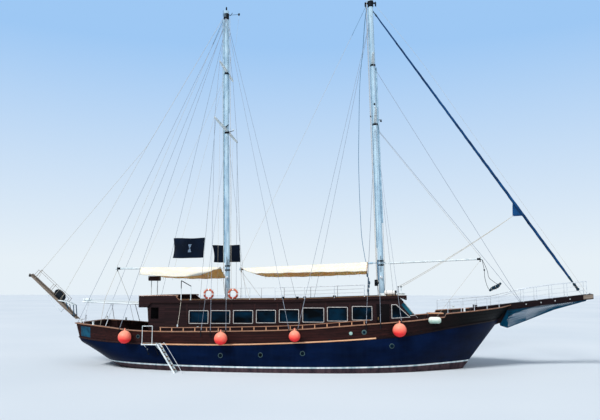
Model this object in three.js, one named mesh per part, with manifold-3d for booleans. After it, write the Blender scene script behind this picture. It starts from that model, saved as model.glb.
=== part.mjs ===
// A two-masted wooden tour boat with pirate trim: decked hull with a long keel, deckhouse, bow platform,
// masts with standing rigging, booms that carry awnings, a stern gangway and a boarding ladder.
// Millimetres. X points to the bow, Y to port, Z up. The origin is amidships, on the waterline.
import * as THREE from "three";
import { mergeVertices } from "three/addons/utils/BufferGeometryUtils.js";
import Module from "manifold-3d";

const wasm = await Module();
wasm.setup();

// Clearances
const GAP = 0.3; // between pieces that touch
const PIN_GAP = 1.5; // round a shaft in its bore

// Hull stations, stern to bow. Columns: x at deck level, lean of the section (dx per dz), z of the rabbet,
// half breadth at the deck edge, z of the deck edge, fullness of the bilge, z of the bulwark's top,
// half breadth at the bulwark's top
const STATIONS = [
  [-13550, -0.277, 1060, 2150, 1780, 2, 2680, 2200],
  [-12800, -0.178, 560, 2500, 1710, 2.2, 2620, 2560],
  [-12000, -0.091, 40, 2780, 1650, 2.4, 2550, 2840],
  [-11200, 0, -340, 2980, 1605, 2.6, 2470, 3040],
  [-9800, 0, -780, 3220, 1550, 2.8, 2330, 3280],
  [-7500, 0, -1300, 3420, 1510, 3.1, 2290, 3480],
  [-4000, 0, -1700, 3560, 1530, 3.5, 2340, 3620],
  [0, 0, -1850, 3600, 1670, 3.6, 2460, 3660],
  [3500, 0, -1850, 3500, 1870, 3.0, 2720, 3570],
  [6500, 0.1, -1750, 3150, 2130, 2.2, 2960, 3240],
  [8600, 0.3, -1600, 2620, 2460, 1.6, 3190, 2750],
  [10400, 0.5, -1450, 1850, 2720, 1.2, 3360, 2060],
  [11600, 0.68, -1300, 980, 2860, 1.1, 3500, 1270],
  [12250, 0.766, -1200, 170, 2930, 1.0, 3620, 480],
];
const SECTION_STEPS = 9; // facets from the rabbet to the deck edge
const STEP_X = 8500; // the rail steps up here to the forecastle
const STEP_RISE = 190;
const KEEL_HALF = 110;
const KEEL_Z = -2750;
const DECK_THICK = 50;
const BULWARK_THICK = 110;
const CAP_THICK = 60;
const CAP_OUT = 70;
const CAP_IN = 60;
const WALE_OUT = 45;

// Running gear
const RUDDER_X = -10800;
const STOCK_R = 60;
const STOCK_TOP = 200;
const TRUNK_FOOT = -900;
const TRUNK_OVER = 60; // the trunk's bore ends this far over the stock
const SHOE_TOP = -2620;
const RUDDER_THICK = 90;
const STERNPOST_X = -10730;
const APERTURE = { x0: -10380, x1: -9480, z0: -2330, z1: -1150 };
const SHAFT_Z = -1740;
const SHAFT_R = 40;
const SHAFT_IN = 280;
const PROP = { x: -9760, radius: 500, hub: 75, blades: 3 };

// Bow platform: its top rises in a straight line
const BEAM = { x0: 10600, x1: 17860, z0: 3640, z1: 4520, half0: 420, half1: 320, deep0: 360, deep1: 300 };
const KNEE_HALF = 100;
const BITT = { x: 10900, y: 260, half: 80 };

// Deckhouse
const HOUSE_HALF = 2300;
const WALL = 60;
const HOUSE_AFT = -9200;
const AFT_WALL_X = -8300;
const FRONT_X = 7270; // foot of the windscreen
const FRONT_Z = 3050;
const SLOPE_TOP_X = 6190;
const ROOF_HALF = 2420;
const ROOF_THICK = 110;
const ROOF_LINE = [[-9740, 4110], [-7000, 4130], [0, 4200], [6580, 4440]]; // x, z of the roof's top
const COAMING_TOP = 4420;
const COAMING_END = -7450;
const FASCIA_FOOT = 3690;
const FASCIA_THICK = 55;
// Handrail at the head of the roof's ladder. Columns of the posts: x, height
const LADDER_RAIL = { posts: [[-7110, 1200], [-6500, 860]], y: -2290, r: 20 };
const LIP = 12; // the window frames stand proud
const FRAME_W = 55;
// Side windows. Columns: aft x, forward x, sill z, head z, outside the frame
const WINDOWS = [
  [-6590, -5370, 2720, 3520],
  [-5230, -4020, 2730, 3530],
  [-3840, -2610, 2740, 3545],
  [-2430, -1220, 2780, 3565],
  [-1030, 180, 2820, 3610],
  [390, 1690, 2840, 3710],
  [1870, 3100, 2910, 3760],
  [3350, 4550, 2980, 3810],
];
const HELM_WINDOW = [[5720, 3130], [6700, 3200], [5940, 3880], [5720, 3880]];
const LOBBY_OPENING = { x0: -9000, x1: -8500, z0: 3000, z1: 3690 };
const DOOR = { x0: 4800, x1: 5570, top: 3950, sill: 60, thick: 40, play: 6, barrel: 10 };
const DOORWAY = { half: 400, head: 3600 };
const GLASS = 8;
const CONSOLE = { x0: 6350, x1: 6650, half: 520, high: 1020 };
const WHEEL = { x: 6265, up: 860, ring: 300, grip: 400, spokes: 8 };

// Masts. Columns of the rake: x at z = 0 and dx per dz
const FOREMAST = { x: 5303, rake: -0.0239, top: 24300, foot: 190, head: 150 };
const MAINMAST = { x: -4634, rake: -0.0185, top: 23650, foot: 170, head: 125 };
// Spreaders: z and half length, upper then lower
const FORE_SPREADERS = [[19600, 1900], [15600, 3200]];
const MAIN_SPREADERS = [[19400, 2000], [15300, 3400]];
const SPREADER_R = 42;
const TRUCK = { high: 420, out: 45 };
const WIRE_R = 11;
// Two inner forestays end on one plate that stands on the bow platform.
// Columns: height on the foremast, offset of the foot on the plate
const INNER_STAYS = [[19450, 30], [15330, -30]];
const STAY_PLATE = { x: 13650, half: 60, thick: 34, up: 50, wireR: 13 };
// The mainmast's backstays hang from a tang on each side of its head and end on the rail and the transom.
// Columns of the tops: offset in x and in z on the tang
const BACKSTAYS = { top: 23050, out: 45, tang: 40, railFeet: [-250, -10600], quarter: 2050 };
const BACKSTAY_TOPS = [[24, 10], [4, -36], [-24, 10]];
const LUG = { out: 130, half: 60, thick: 16, apart: 50 };

// Booms: z at the gooseneck, end x, end z
const MAIN_BOOM = { z: 6160, endX: -12270, endZ: 6150, r: 65 };
const FORE_BOOM = { z: 6450, endX: -3950, endZ: 6085, r: 65 };
const DERRICK = { z: 6430, endX: 11430, endZ: 6680, r: 55 };
const EYE_R = 36;

// Awnings on the booms. Columns: ridge x, edge x, half width, starboard edge z, port edge z
const CLOTH = 25;
const STRIP = 45; // the cloth lies flat on the boom this far each way
const MAIN_AWNING = [
  [-10660, -9790, 2300, 5720, 5600],
  [-9000, -8700, 2320, 5640, 5540],
  [-7300, -7250, 2320, 5575, 5500],
  [-6000, -5950, 2250, 5680, 5520],
  [-5200, -5200, 1900, 6000, 5540],
];
const FORE_AWNING = [
  [-3840, -2600, 2300, 5770, 5620],
  [-1500, -1200, 2330, 5780, 5620],
  [1000, 1000, 2350, 5830, 5660],
  [2900, 2900, 2330, 5860, 5740],
  [4350, 4300, 2250, 5890, 5800],
];
const STERN_AWNING = { x0: -13600, x1: -9740, half: 1850, z0: 4060, z1: 3930, thick: 45, crown: 40 };
const STERN_POSTS = [-13250, -11600];

// Rails
const SIDE_RAIL = { x0: -8050, x1: 4400, pitch: 710, up: 230, inset: 30, wide: 95, thick: 45, post: 50 };
const RAIL_R = 20;
const POST_R = 16;
// Bow rail posts. Columns: x, height
const BOW_POSTS = [
  [8900, 620], [9700, 620], [10500, 620], [11300, 620], [12100, 620],
  [13750, 800], [14550, 830], [15450, 850], [16350, 830], [17500, 800],
];
const ROOF_POSTS = [-1300, 500, 2300, 4100];
const ROOF_RAIL = { half: 2150, up: 720, mid: 380 };

// Things on deck and overside
const HATCH = { x0: 8000, x1: 8900, half: 450, top: 3300, wall: 45, lid: 45, over: 25 };
const BOLLARDS = [[-12500, 2650], [9900, 2340]]; // x, y
const PASSERELLE = { x: -14010, y: -1500, z: 2900, length: 4400, half: 210, angle: 40.6, ear: 20 };
const PLATFORM = { x0: -8880, x1: -7950, y: -4150, z: 1650, thick: 60, rail: 2680 };
const LADDER = { y0: -4150, y1: -3660, length: 2600, angle: 57, rungs: 8, barrel: 22, away: 50 };
const LIFEBUOYS = [-5370, -3860];
const BUOY = { ring: 265, tube: 68, y: -2330 };
// Ball fenders. Columns: x, z of the centre, radius
const FENDERS = [
  [-10070, 2010, 390],
  [-4180, 2000, 380],
  [110, 2170, 330],
  [6060, 2530, 395],
];
const LONG_FENDER = { x0: 7720, x1: 8440, z: 3060, r: 185 };
const ROOF_BOX = { x: -9260, y: -1000, z: 5480, long: 700, deep: 420, high: 300, apart: 400 };
const FLAG = { long: 2100, high: 1280, foot: 6660, thick: 20, y: 3100, r: 9 };
const FLAG_FEET = { starboard: -5700, port: -4400 }; // where each halyard ends, along the rail

// Shapes

function rowAt(x) {
  let i = 0;
  while (i < STATIONS.length - 2 && x > STATIONS[i + 1][0]) i += 1;
  const [a, b] = [STATIONS[i], STATIONS[i + 1]];
  const before = STATIONS[Math.max(i - 1, 0)];
  const after = STATIONS[Math.min(i + 2, STATIONS.length - 1)];
  const span = b[0] - a[0];
  const s = (x - a[0]) / span;
  const value = a.map((from, k) => {
    const slopeA = ((b[k] - before[k]) / (b[0] - before[0])) * span;
    const slopeB = ((after[k] - from) / (after[0] - a[0])) * span;
    const cubic = (2 * s ** 3 - 3 * s ** 2 + 1) * from + (3 * s ** 2 - 2 * s ** 3) * b[k];
    return cubic + (s ** 3 - 2 * s ** 2 + s) * slopeA + (s ** 3 - s ** 2) * slopeB;
  });
  const [, lean, rabbet, half, deck, full, rail, railHalf] = value;
  return { x, lean, rabbet, half, deck, full, rail: rail + (x > STEP_X ? STEP_RISE : 0), railHalf };
}

// Rows along the hull: each station, the middle between two, and one on each side of the rail's step
const ROWS = STATIONS.flatMap(([x], i) => (i ? [(x + STATIONS[i - 1][0]) / 2, x] : [x]))
  .concat([STEP_X - 20, STEP_X + 20])
  .sort((a, b) => a - b)
  .map(rowAt);

// A value of the rows at x, along the same straight facets as the hull
function level(x, key) {
  let i = 0;
  while (i < ROWS.length - 2 && x > ROWS[i + 1].x) i += 1;
  const s = (x - ROWS[i].x) / (ROWS[i + 1].x - ROWS[i].x);
  return ROWS[i][key] + (ROWS[i + 1][key] - ROWS[i][key]) * s;
}

const deckTop = (x) => level(x, "deck") + DECK_THICK;

function alongLine(line, x) {
  let i = 0;
  while (i < line.length - 2 && x > line[i + 1][0]) i += 1;
  const [[xa, za], [xb, zb]] = [line[i], line[i + 1]];
  return za + ((zb - za) * (x - xa)) / (xb - xa);
}

const roofTop = (x) => alongLine(ROOF_LINE, x);
const roofUnder = (x) => roofTop(x) - ROOF_THICK;
const beamTop = (x) => alongLine([[BEAM.x0, BEAM.z0], [BEAM.x1, BEAM.z1]], x);
const beamHalf = (x) => alongLine([[BEAM.x0, BEAM.half0], [BEAM.x1, BEAM.half1]], x);
const mastX = (mast, z) => mast.x + mast.rake * z;
const mastR = (mast, z) => mast.foot + ((mast.head - mast.foot) * z) / mast.top;

// Points of the rail cap's top along the hull's edge
const CAP_LINE = ROWS.map((row) => ({
  x: row.x + row.lean * (row.rail - row.deck),
  y: row.railHalf,
  z: row.rail + CAP_THICK,
}));

function capAt(x) {
  let i = 0;
  while (i < CAP_LINE.length - 2 && x > CAP_LINE[i + 1].x) i += 1;
  const [a, b] = [CAP_LINE[i], CAP_LINE[i + 1]];
  const s = (x - a.x) / (b.x - a.x);
  return { y: a.y + (b.y - a.y) * s, z: a.z + (b.z - a.z) * s };
}

// Geometry helpers: each gives a closed geometry

function toSolid(geometry) {
  const bare = geometry.index ? geometry.toNonIndexed() : geometry.clone();
  bare.deleteAttribute("normal");
  bare.deleteAttribute("uv");
  const shared = mergeVertices(bare, 1e-3);
  const triVerts = new Uint32Array(shared.index.array);
  const vertProperties = shared.attributes.position.array;
  const made = new wasm.Manifold(new wasm.Mesh({ numProp: 3, vertProperties, triVerts }));
  if (made.volume() > 0) return made;
  for (let i = 0; i < triVerts.length; i += 3) {
    [triVerts[i + 1], triVerts[i + 2]] = [triVerts[i + 2], triVerts[i + 1]];
  }
  return new wasm.Manifold(new wasm.Mesh({ numProp: 3, vertProperties, triVerts }));
}

function toGeometry(solid) {
  const mesh = solid.getMesh();
  const geometry = new THREE.BufferGeometry();
  geometry.setAttribute("position", new THREE.BufferAttribute(mesh.vertProperties, 3));
  geometry.setIndex(new THREE.BufferAttribute(mesh.triVerts, 1));
  return geometry;
}

function join(...geometries) {
  const solids = geometries.flat().map(toSolid);
  return toGeometry(solids.reduce((sum, next) => sum.add(next)));
}

function cut(geometry, ...tools) {
  const cutters = tools.flat().map(toSolid);
  return toGeometry(cutters.reduce((rest, tool) => rest.subtract(tool), toSolid(geometry)));
}

// The largest body of a cut, without the offcuts
function mainBody(geometry) {
  const bodies = toSolid(geometry).decompose();
  bodies.sort((a, b) => b.volume() - a.volume());
  return toGeometry(bodies[0]);
}

function block(x0, x1, y0, y1, z0, z1) {
  const box = new THREE.BoxGeometry(x1 - x0, y1 - y0, z1 - z0);
  return box.translate((x0 + x1) / 2, (y0 + y1) / 2, (z0 + z1) / 2);
}

function extruded(outline, holes, depth, basis, shift) {
  const shape = new THREE.Shape(outline.map(([a, b]) => new THREE.Vector2(a, b)));
  shape.holes = holes.map((hole) => new THREE.Path(hole.map(([a, b]) => new THREE.Vector2(a, b))));
  const geometry = new THREE.ExtrudeGeometry(shape, { depth, bevelEnabled: false });
  return geometry.applyMatrix4(basis).translate(...shift);
}

const X = new THREE.Vector3(1, 0, 0);
const Y = new THREE.Vector3(0, 1, 0);
const Z = new THREE.Vector3(0, 0, 1);
const SIDE_BASIS = new THREE.Matrix4().makeBasis(X, Z, Y.clone().negate());
const CROSS_BASIS = new THREE.Matrix4().makeBasis(Y, Z, X);

// An outline in x and z, from y0 to y1
const profile = (outline, y0, y1, holes = []) => extruded(outline, holes, y1 - y0, SIDE_BASIS, [0, y1, 0]);
// An outline in y and z, from x0 to x1
const bulkhead = (outline, x0, x1, holes = []) => extruded(outline, holes, x1 - x0, CROSS_BASIS, [x0, 0, 0]);

function rod(a, b, r, rEnd = r, sides = 8) {
  const along = new THREE.Vector3(...b).sub(new THREE.Vector3(...a));
  const geometry = new THREE.CylinderGeometry(rEnd, r, along.length(), sides);
  geometry.translate(0, along.length() / 2, 0);
  const axis = along.normalize();
  const side = Math.abs(axis.y) > 0.99 ? X.clone() : Y.clone().cross(axis).normalize();
  geometry.applyMatrix4(new THREE.Matrix4().makeBasis(side, axis, side.clone().cross(axis)));
  return geometry.translate(...a);
}

function ball(centre, r, around = 12, up = 8) {
  return new THREE.SphereGeometry(r, around, up).translate(...centre);
}

// A bar that bends at each of the points
function chain(points, r, sides = 6) {
  const at = points.map((point) => new THREE.Vector3(...point));
  const span = at.at(-1).clone().sub(at[0]).toArray().map(Math.abs);
  const reference = [X, Y, Z][span.indexOf(Math.min(...span))];
  const rings = at.map((point, i) => {
    const along = at[Math.min(i + 1, at.length - 1)].clone().sub(point).normalize();
    along.add(point.clone().sub(at[Math.max(i - 1, 0)]).normalize()).normalize();
    const side = reference.clone().cross(along).normalize();
    const up = along.clone().cross(side);
    return Array.from({ length: sides }, (_, k) => {
      const turn = (2 * Math.PI * k) / sides;
      const [a, b] = [r * Math.cos(turn), r * Math.sin(turn)];
      return point.clone().addScaledVector(side, a).addScaledVector(up, b).toArray();
    });
  });
  return loft(rings);
}

function capTriangles(ring) {
  const normal = new THREE.Vector3();
  ring.forEach((p, i) => {
    const q = ring[(i + 1) % ring.length];
    normal.x += (p[1] - q[1]) * (p[2] + q[2]);
    normal.y += (p[2] - q[2]) * (p[0] + q[0]);
    normal.z += (p[0] - q[0]) * (p[1] + q[1]);
  });
  const size = normal.toArray().map(Math.abs);
  const drop = size.indexOf(Math.max(...size));
  const flat = ring.map((p) => new THREE.Vector2(...p.filter((_, k) => k !== drop)));
  return THREE.ShapeUtils.triangulateShape(flat, []);
}

// A skin over rings of equal length, closed at both ends
function loft(rings) {
  const n = rings[0].length;
  const position = rings.flat(2);
  const index = [];
  for (let i = 0; i < rings.length - 1; i += 1) {
    for (let k = 0; k < n; k += 1) {
      const [a, b] = [i * n + k, i * n + ((k + 1) % n)];
      index.push(a, b, b + n, a, b + n, a + n);
    }
  }
  const last = (rings.length - 1) * n;
  const start = capTriangles(rings[0]);
  const startRuns = edgeRuns(start, n);
  start.forEach(([a, b, c]) => index.push(...(startRuns ? [a, c, b] : [a, b, c])));
  const end = capTriangles(rings.at(-1));
  const endRuns = edgeRuns(end, n);
  end.forEach(([a, b, c]) => index.push(...(endRuns ? [a, b, c] : [a, c, b]).map((v) => last + v)));
  const geometry = new THREE.BufferGeometry();
  geometry.setAttribute("position", new THREE.Float32BufferAttribute(position, 3));
  geometry.setIndex(index);
  return geometry;
}

// Whether the triangles run along the ring in its own order
function edgeRuns(triangles, n) {
  return triangles.some((t) => t.some((v, i) => t[(i + 1) % 3] === (v + 1) % n));
}

function mirrored(geometry) {
  return toGeometry(toSolid(geometry.clone().applyMatrix4(new THREE.Matrix4().makeScale(1, -1, 1))));
}

// Hull and keel

function hullBody(grow = 0) {
  const rings = ROWS.map((row, n) => {
    const side = [];
    const ahead = { 0: -grow, [ROWS.length - 1]: grow }[n] ?? 0;
    for (let i = 0; i <= SECTION_STEPS; i += 1) {
      const t = (i / SECTION_STEPS) ** 1.5;
      const z = row.rabbet + (row.deck - row.rabbet) * t;
      const y = KEEL_HALF + (row.half - KEEL_HALF) * (1 - (1 - t) ** row.full) + grow;
      const lift = { 0: -grow, [SECTION_STEPS]: grow }[i] ?? 0;
      side.push([row.x + row.lean * (z - row.deck) + ahead, y, z + lift]);
    }
    return [...side.map(([x, y, z]) => [x, -y, z]).reverse(), ...side];
  });
  return loft(rings);
}

function hull() {
  const r = STOCK_R + PIN_GAP;
  return cut(hullBody(), rod([RUDDER_X, 0, TRUNK_FOOT], [RUDDER_X, 0, STOCK_TOP + TRUNK_OVER], r, r, 16));
}

function keel() {
  const outline = [
    [STERNPOST_X, 0], [STERNPOST_X, SHOE_TOP], [-11020, SHOE_TOP], [-11020, KEEL_Z], [2500, KEEL_Z],
    [6500, -2300], [8300, -1750], [9060, -1215], [9000, -900], [7500, -1300], [3500, -1600], [0, -1650],
    [-4000, -1500], [-7500, -1100], [-9800, -550],
  ];
  const { x0, x1, z0, z1 } = APERTURE;
  const window = block(x0, x1, -500, 500, z0, z1);
  const r = SHAFT_R + PIN_GAP;
  const bore = rod([x1 - 10, 0, SHAFT_Z], [x1 + SHAFT_IN + 20, 0, SHAFT_Z], r, r, 16);
  return mainBody(cut(profile(outline, -KEEL_HALF, KEEL_HALF), hullBody(GAP), window, bore));
}

function rudder() {
  const blade = [
    [RUDDER_X, -660], [-11480, -560], [-11760, -850], [-11850, -1900], [-11620, -2540], [RUDDER_X, -2560],
  ];
  const stock = rod([RUDDER_X, 0, SHOE_TOP + GAP], [RUDDER_X, 0, STOCK_TOP], STOCK_R, STOCK_R, 16);
  return join(profile(blade, -RUDDER_THICK / 2, RUDDER_THICK / 2), stock);
}

function propeller() {
  const { x, radius, hub, blades } = PROP;
  const boss = join(
    rod([x - 110, 0, 0], [x + 130, 0, 0], hub, hub, 16),
    rod([x - 110, 0, 0], [x - 220, 0, 0], hub, 25, 16),
    rod([x, 0, 0], [APERTURE.x1 + SHAFT_IN, 0, 0], SHAFT_R, SHAFT_R, 16),
    rod([APERTURE.x1 - 50, 0, 0], [APERTURE.x1 - GAP, 0, 0], 60, 60, 16),
  );
  // Blade sections. Columns: share of the radius, half chord, half thickness, pitch angle
  const sections = [[0.1, 90, 16, 58], [0.45, 150, 13, 42], [0.8, 140, 9, 30], [1, 50, 5, 25]];
  const lens = [[-1, 0], [-0.4, 1], [0.4, 1], [1, 0], [0.4, -1], [-0.4, -1]];
  const blade = loft(sections.map(([share, chord, thick, pitch]) => lens.map(([c, t]) => {
    const turn = THREE.MathUtils.degToRad(pitch);
    const [along, out] = [c * chord, t * thick];
    return [
      x + along * Math.sin(turn) + out * Math.cos(turn),
      along * Math.cos(turn) - out * Math.sin(turn),
      share * radius,
    ];
  })));
  const fan = Array.from({ length: blades }, (_, i) => blade.clone().rotateX((2 * Math.PI * i) / blades));
  return join(boss, fan).translate(0, 0, SHAFT_Z);
}

function planks(grow = 0) {
  const inset = BULWARK_THICK + 5;
  const [aft, fore] = [STATIONS[0][0] + inset, 12060];
  const xs = [aft, ...ROWS.map((row) => row.x).filter((x) => x > aft && x < fore), fore];
  return loft(xs.map((x) => {
    const half = level(x, "half") - inset + grow;
    const [low, high] = [level(x, "deck") + GAP - grow, deckTop(x) + grow];
    return [[x, -half, low], [x, half, low], [x, half, high], [x, -half, high]];
  }));
}

function deck() {
  const [notchX, notchZ] = [11700, 2500];
  const half = KNEE_HALF + GAP;
  const notch = block(notchX, notchX + 800, -half, half, notchZ, notchZ + 1500);
  return mainBody(cut(planks(), bulwark(GAP), notch));
}

// The fore hatch's frame, cut to stand on the planks
function hatchCoaming() {
  const { x0, x1, half, top, wall } = HATCH;
  const foot = deckTop(x0) - DECK_THICK / 2;
  const well = block(x0 + wall, x1 - wall, -half + wall, half - wall, foot - wall, top + wall);
  return mainBody(cut(block(x0, x1, -half, half, foot, top), well, planks(GAP)));
}

// Bulwark and rail cap: frames run from the bow down one side, round the stern and back up the other

function wallFrames() {
  const side = [...ROWS].reverse().map((row) => ({
    base: [row.x, -row.half, row.deck],
    top: [row.x + row.lean * (row.rail - row.deck), -row.railHalf, row.rail],
    inward: [0, 1],
  }));
  side.at(-1).inward = [1, 1];
  const other = side.map(({ base, top, inward }) => ({
    base: [base[0], -base[1], base[2]],
    top: [top[0], -top[1], top[2]],
    inward: [inward[0], -inward[1]],
  }));
  return [...side, ...other.reverse()];
}

// A strake along the frames. Section columns: inset from the outer face, height above the base
function bulwark(grow = 0) {
  const section = (high) => [
    [BULWARK_THICK + grow, GAP - grow], [BULWARK_THICK + grow, high + 5 + grow], [-grow, high + 5 + grow],
    [-grow, 135 + grow], [-WALE_OUT - grow, 110 + grow], [-WALE_OUT - grow, 30 - grow], [-grow, GAP - grow],
  ];
  return loft(wallFrames().map(({ base, top, inward }) => section(top[2] - base[2]).map(([inset, high]) => {
    const s = high / (top[2] - base[2]);
    return [
      base[0] + (top[0] - base[0]) * s + inward[0] * inset,
      base[1] + (top[1] - base[1]) * s + inward[1] * inset,
      base[2] + high,
    ];
  })));
}

function capStrake(grow = 0) {
  const [out, inside] = [-CAP_OUT - grow, BULWARK_THICK + CAP_IN + grow];
  const section = [[inside, -grow], [inside, CAP_THICK + grow], [out, CAP_THICK + grow], [out, -grow]];
  return loft(wallFrames().map(({ top, inward }) => section.map(([inset, high]) => [
    top[0] + inward[0] * inset,
    top[1] + inward[1] * inset,
    top[2] + high,
  ])));
}

function railCap() {
  const bollards = BOLLARDS.flatMap(([x, y]) => [1, -1].map((side) => {
    const { z } = capAt(x);
    return rod([x, side * y, z - 20], [x, side * y, z + 190], 62, 62, 12);
  }));
  const { x, y, z, half, ear } = PASSERELLE;
  const stern = CAP_LINE[0];
  const ears = [1, -1].map((side) => {
    const inner = y + side * (half + GAP);
    const outer = y + side * (half + GAP + ear);
    const outline = [
      [stern.x + 60, stern.z - 30], [stern.x + 60, stern.z + 20], [x - 40, z + 45], [x - 55, z - 45],
      [stern.x - 20, stern.z - 45],
    ];
    return profile(outline, Math.min(inner, outer), Math.max(inner, outer));
  });
  return join(cut(capStrake(), beam(GAP)), bollards, ears);
}

// Bow

function beam(grow = 0) {
  const { x0, x1, half0, half1, z0, z1, deep0, deep1 } = BEAM;
  const ring = (x, half, top, deep) => [
    [x, -half - grow, top - deep - grow], [x, half + grow, top - deep - grow],
    [x, half + grow, top + grow], [x, -half - grow, top + grow],
  ];
  return loft([ring(x0 - grow, half0, z0, deep0), ring(x1 + grow, half1, z1, deep1)]);
}

function bowPlatform() {
  const knee = profile([
    [11950, 2600], [12340, 2750], [13280, 3370], [14510, 3760], [14900, 3900], [12300, 3650], [11800, 3500],
  ], -KNEE_HALF, KNEE_HALF);
  const bitts = [-1, 1].map((side) => block(
    BITT.x - BITT.half, BITT.x + BITT.half, side * BITT.y - BITT.half, side * BITT.y + BITT.half,
    deckTop(BITT.x) - 30, beamTop(BITT.x) + 170,
  ));
  const underDeck = block(BITT.x - 400, BITT.x + 400, -800, 800, 1500, deckTop(BITT.x + BITT.half) + GAP);
  const trimmed = cut(join(knee, beam()), hullBody(GAP), bulwark(GAP));
  return mainBody(join(trimmed, cut(join(bitts[0], bitts[1], beam()), underDeck)));
}

function bowRail() {
  const foot = (x, side) => {
    if (x > 12600) return [x, side * (beamHalf(x) - 45), beamTop(x)];
    const cap = capAt(x);
    return [x, side * (cap.y - 40), cap.z];
  };
  const raised = ([x, y, z], high) => [x, y, z + high];
  const sides = [1, -1].map((side) => {
    const tops = BOW_POSTS.map(([x, high]) => raised(foot(x, side), high));
    const mids = BOW_POSTS.map(([x, high]) => raised(foot(x, side), high / 2));
    const posts = BOW_POSTS.map(([x, high]) => (
      rod(raised(foot(x, side), -10), raised(foot(x, side), high), POST_R, POST_R, 6)
    ));
    return join(chain(tops, RAIL_R), chain(mids, POST_R / 2), posts);
  });
  const [x, high] = BOW_POSTS.at(-1);
  const front = rod(raised(foot(x, -1), high), raised(foot(x, 1), high), RAIL_R);
  return mainBody(cut(join(sides, front), capStrake(GAP), beam(GAP)));
}

function bowNet() {
  const under = (x) => beamTop(x) - alongLine([[BEAM.x0, BEAM.deep0], [BEAM.x1, BEAM.deep1]], x) - GAP;
  // Columns: x, half width, z of the edge, z of the lowest line
  const table = [
    [12380, 110, 2730, 2590], [12800, 330, under(12800), 2450], [13900, 350, under(13900), 2880],
    [15600, 330, under(15600), 3560], [17450, 315, under(17450), 4080],
  ];
  const thick = 22;
  return loft(table.map(([x, half, edge, low]) => {
    const side = low + (edge - low) * 0.35;
    const bowl = [[-1, edge], [-0.8, side], [0, low], [0.8, side], [1, edge]];
    const lower = bowl.map(([share, z]) => [x, share * half, z]);
    const upper = bowl.map(([share, z]) => [
      x, share * (half - thick), z + (Math.abs(share) === 1 ? 0 : thick),
    ]);
    return [...lower, ...upper.reverse()];
  }));
}

// Deckhouse

function footLine(x0, x1) {
  const xs = [x0, ...ROWS.map((row) => row.x).filter((x) => x > x0 && x < x1), x1];
  return xs.map((x) => [x, deckTop(x) + GAP]);
}

const rectangle = (x0, x1, z0, z1) => [[x0, z0], [x1, z0], [x1, z1], [x0, z1]];

function doorHole() {
  return rectangle(DOOR.x0, DOOR.x1, deckTop(DOOR.x1) + DOOR.sill, DOOR.top);
}

function shrunk([x0, x1, z0, z1], by) {
  return rectangle(x0 + by, x1 - by, z0 + by, z1 - by);
}

function sideWall() {
  const roofPoints = ROOF_LINE.map(([x]) => x).filter((x) => x > HOUSE_AFT && x < SLOPE_TOP_X);
  const outline = [
    ...footLine(HOUSE_AFT + 150, FRONT_X),
    [FRONT_X, FRONT_Z],
    ...[SLOPE_TOP_X, ...roofPoints.reverse(), HOUSE_AFT - 80].map((x) => [x, roofUnder(x) - GAP]),
    [HOUSE_AFT, FASCIA_FOOT - 200],
  ];
  const { x0, x1, z0, z1 } = LOBBY_OPENING;
  const panes = WINDOWS.map((w) => shrunk(w, FRAME_W));
  const holes = [...panes, HELM_WINDOW, doorHole(), rectangle(x0, x1, z0, z1)];
  const wall = profile(outline, -HOUSE_HALF, -HOUSE_HALF + WALL, holes);
  const face = -HOUSE_HALF + 1;
  const lips = WINDOWS.map((w) => profile(shrunk(w, 0), -HOUSE_HALF - LIP, face, [shrunk(w, FRAME_W)]));
  return join(wall, lips);
}

function sideGlass() {
  const y = -HOUSE_HALF + WALL + GAP;
  const first = WINDOWS[0][0];
  const sills = [[first, 2690], [-1000, 2790], [4660, 3010]];
  const heads = [[4560, 3850], [0, 3640], [first, 3550]];
  const overDoor = DOOR.top + 40;
  const outline = [
    ...sills, [4660, overDoor], [5640, overDoor], [5640, 3080], [6880, 3150], [6000, 3930],
    [5900, overDoor + 70], [4600, overDoor + 70], ...heads,
  ];
  return profile(outline, y, y + GLASS);
}

function slopePoint(share, inward) {
  const top = [SLOPE_TOP_X, roofUnder(SLOPE_TOP_X) - GAP];
  const [dx, dz] = [top[0] - FRONT_X, top[1] - FRONT_Z];
  const size = Math.hypot(dx, dz);
  return [FRONT_X + dx * share - (dz / size) * inward, FRONT_Z + dz * share + (dx / size) * inward];
}

function houseFront() {
  const half = HOUSE_HALF - WALL - GAP;
  const [inner] = slopePoint(1, WALL);
  const outline = [
    [FRONT_X - WALL, deckTop(FRONT_X) + GAP], [FRONT_X, deckTop(FRONT_X) + GAP], slopePoint(0, 0),
    slopePoint(1, 0), [inner, roofUnder(inner) - GAP], slopePoint(1, WALL), slopePoint(0.05, WALL),
  ];
  const pane = (y0, y1) => profile([slopePoint(0.08, -40), slopePoint(0.9, -40), slopePoint(0.9, WALL + 60),
    slopePoint(0.08, WALL + 60)], y0, y1);
  const panes = [[-2080, -760], [-640, 640], [760, 2080]].map(([y0, y1]) => pane(y0, y1));
  return cut(profile(outline, -half, half), panes);
}

function windscreen() {
  const half = HOUSE_HALF - WALL - 40;
  const [low, high] = [WALL + GAP, WALL + GAP + GLASS];
  const pane = [[0.1, low], [0.93, low], [0.93, high], [0.1, high]].map(([share, inward]) => (
    slopePoint(share, inward)
  ));
  return profile(pane, -half, half);
}

function aftWall() {
  const half = HOUSE_HALF - WALL - GAP;
  const [foot, head] = [deckTop(AFT_WALL_X) + GAP, roofUnder(AFT_WALL_X) - 1];
  const outline = [
    [-half, foot], [-DOORWAY.half, foot], [-DOORWAY.half, DOORWAY.head], [DOORWAY.half, DOORWAY.head],
    [DOORWAY.half, foot], [half, foot], [half, head], [-half, head],
  ];
  return bulkhead(outline, AFT_WALL_X, AFT_WALL_X + WALL);
}

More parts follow.
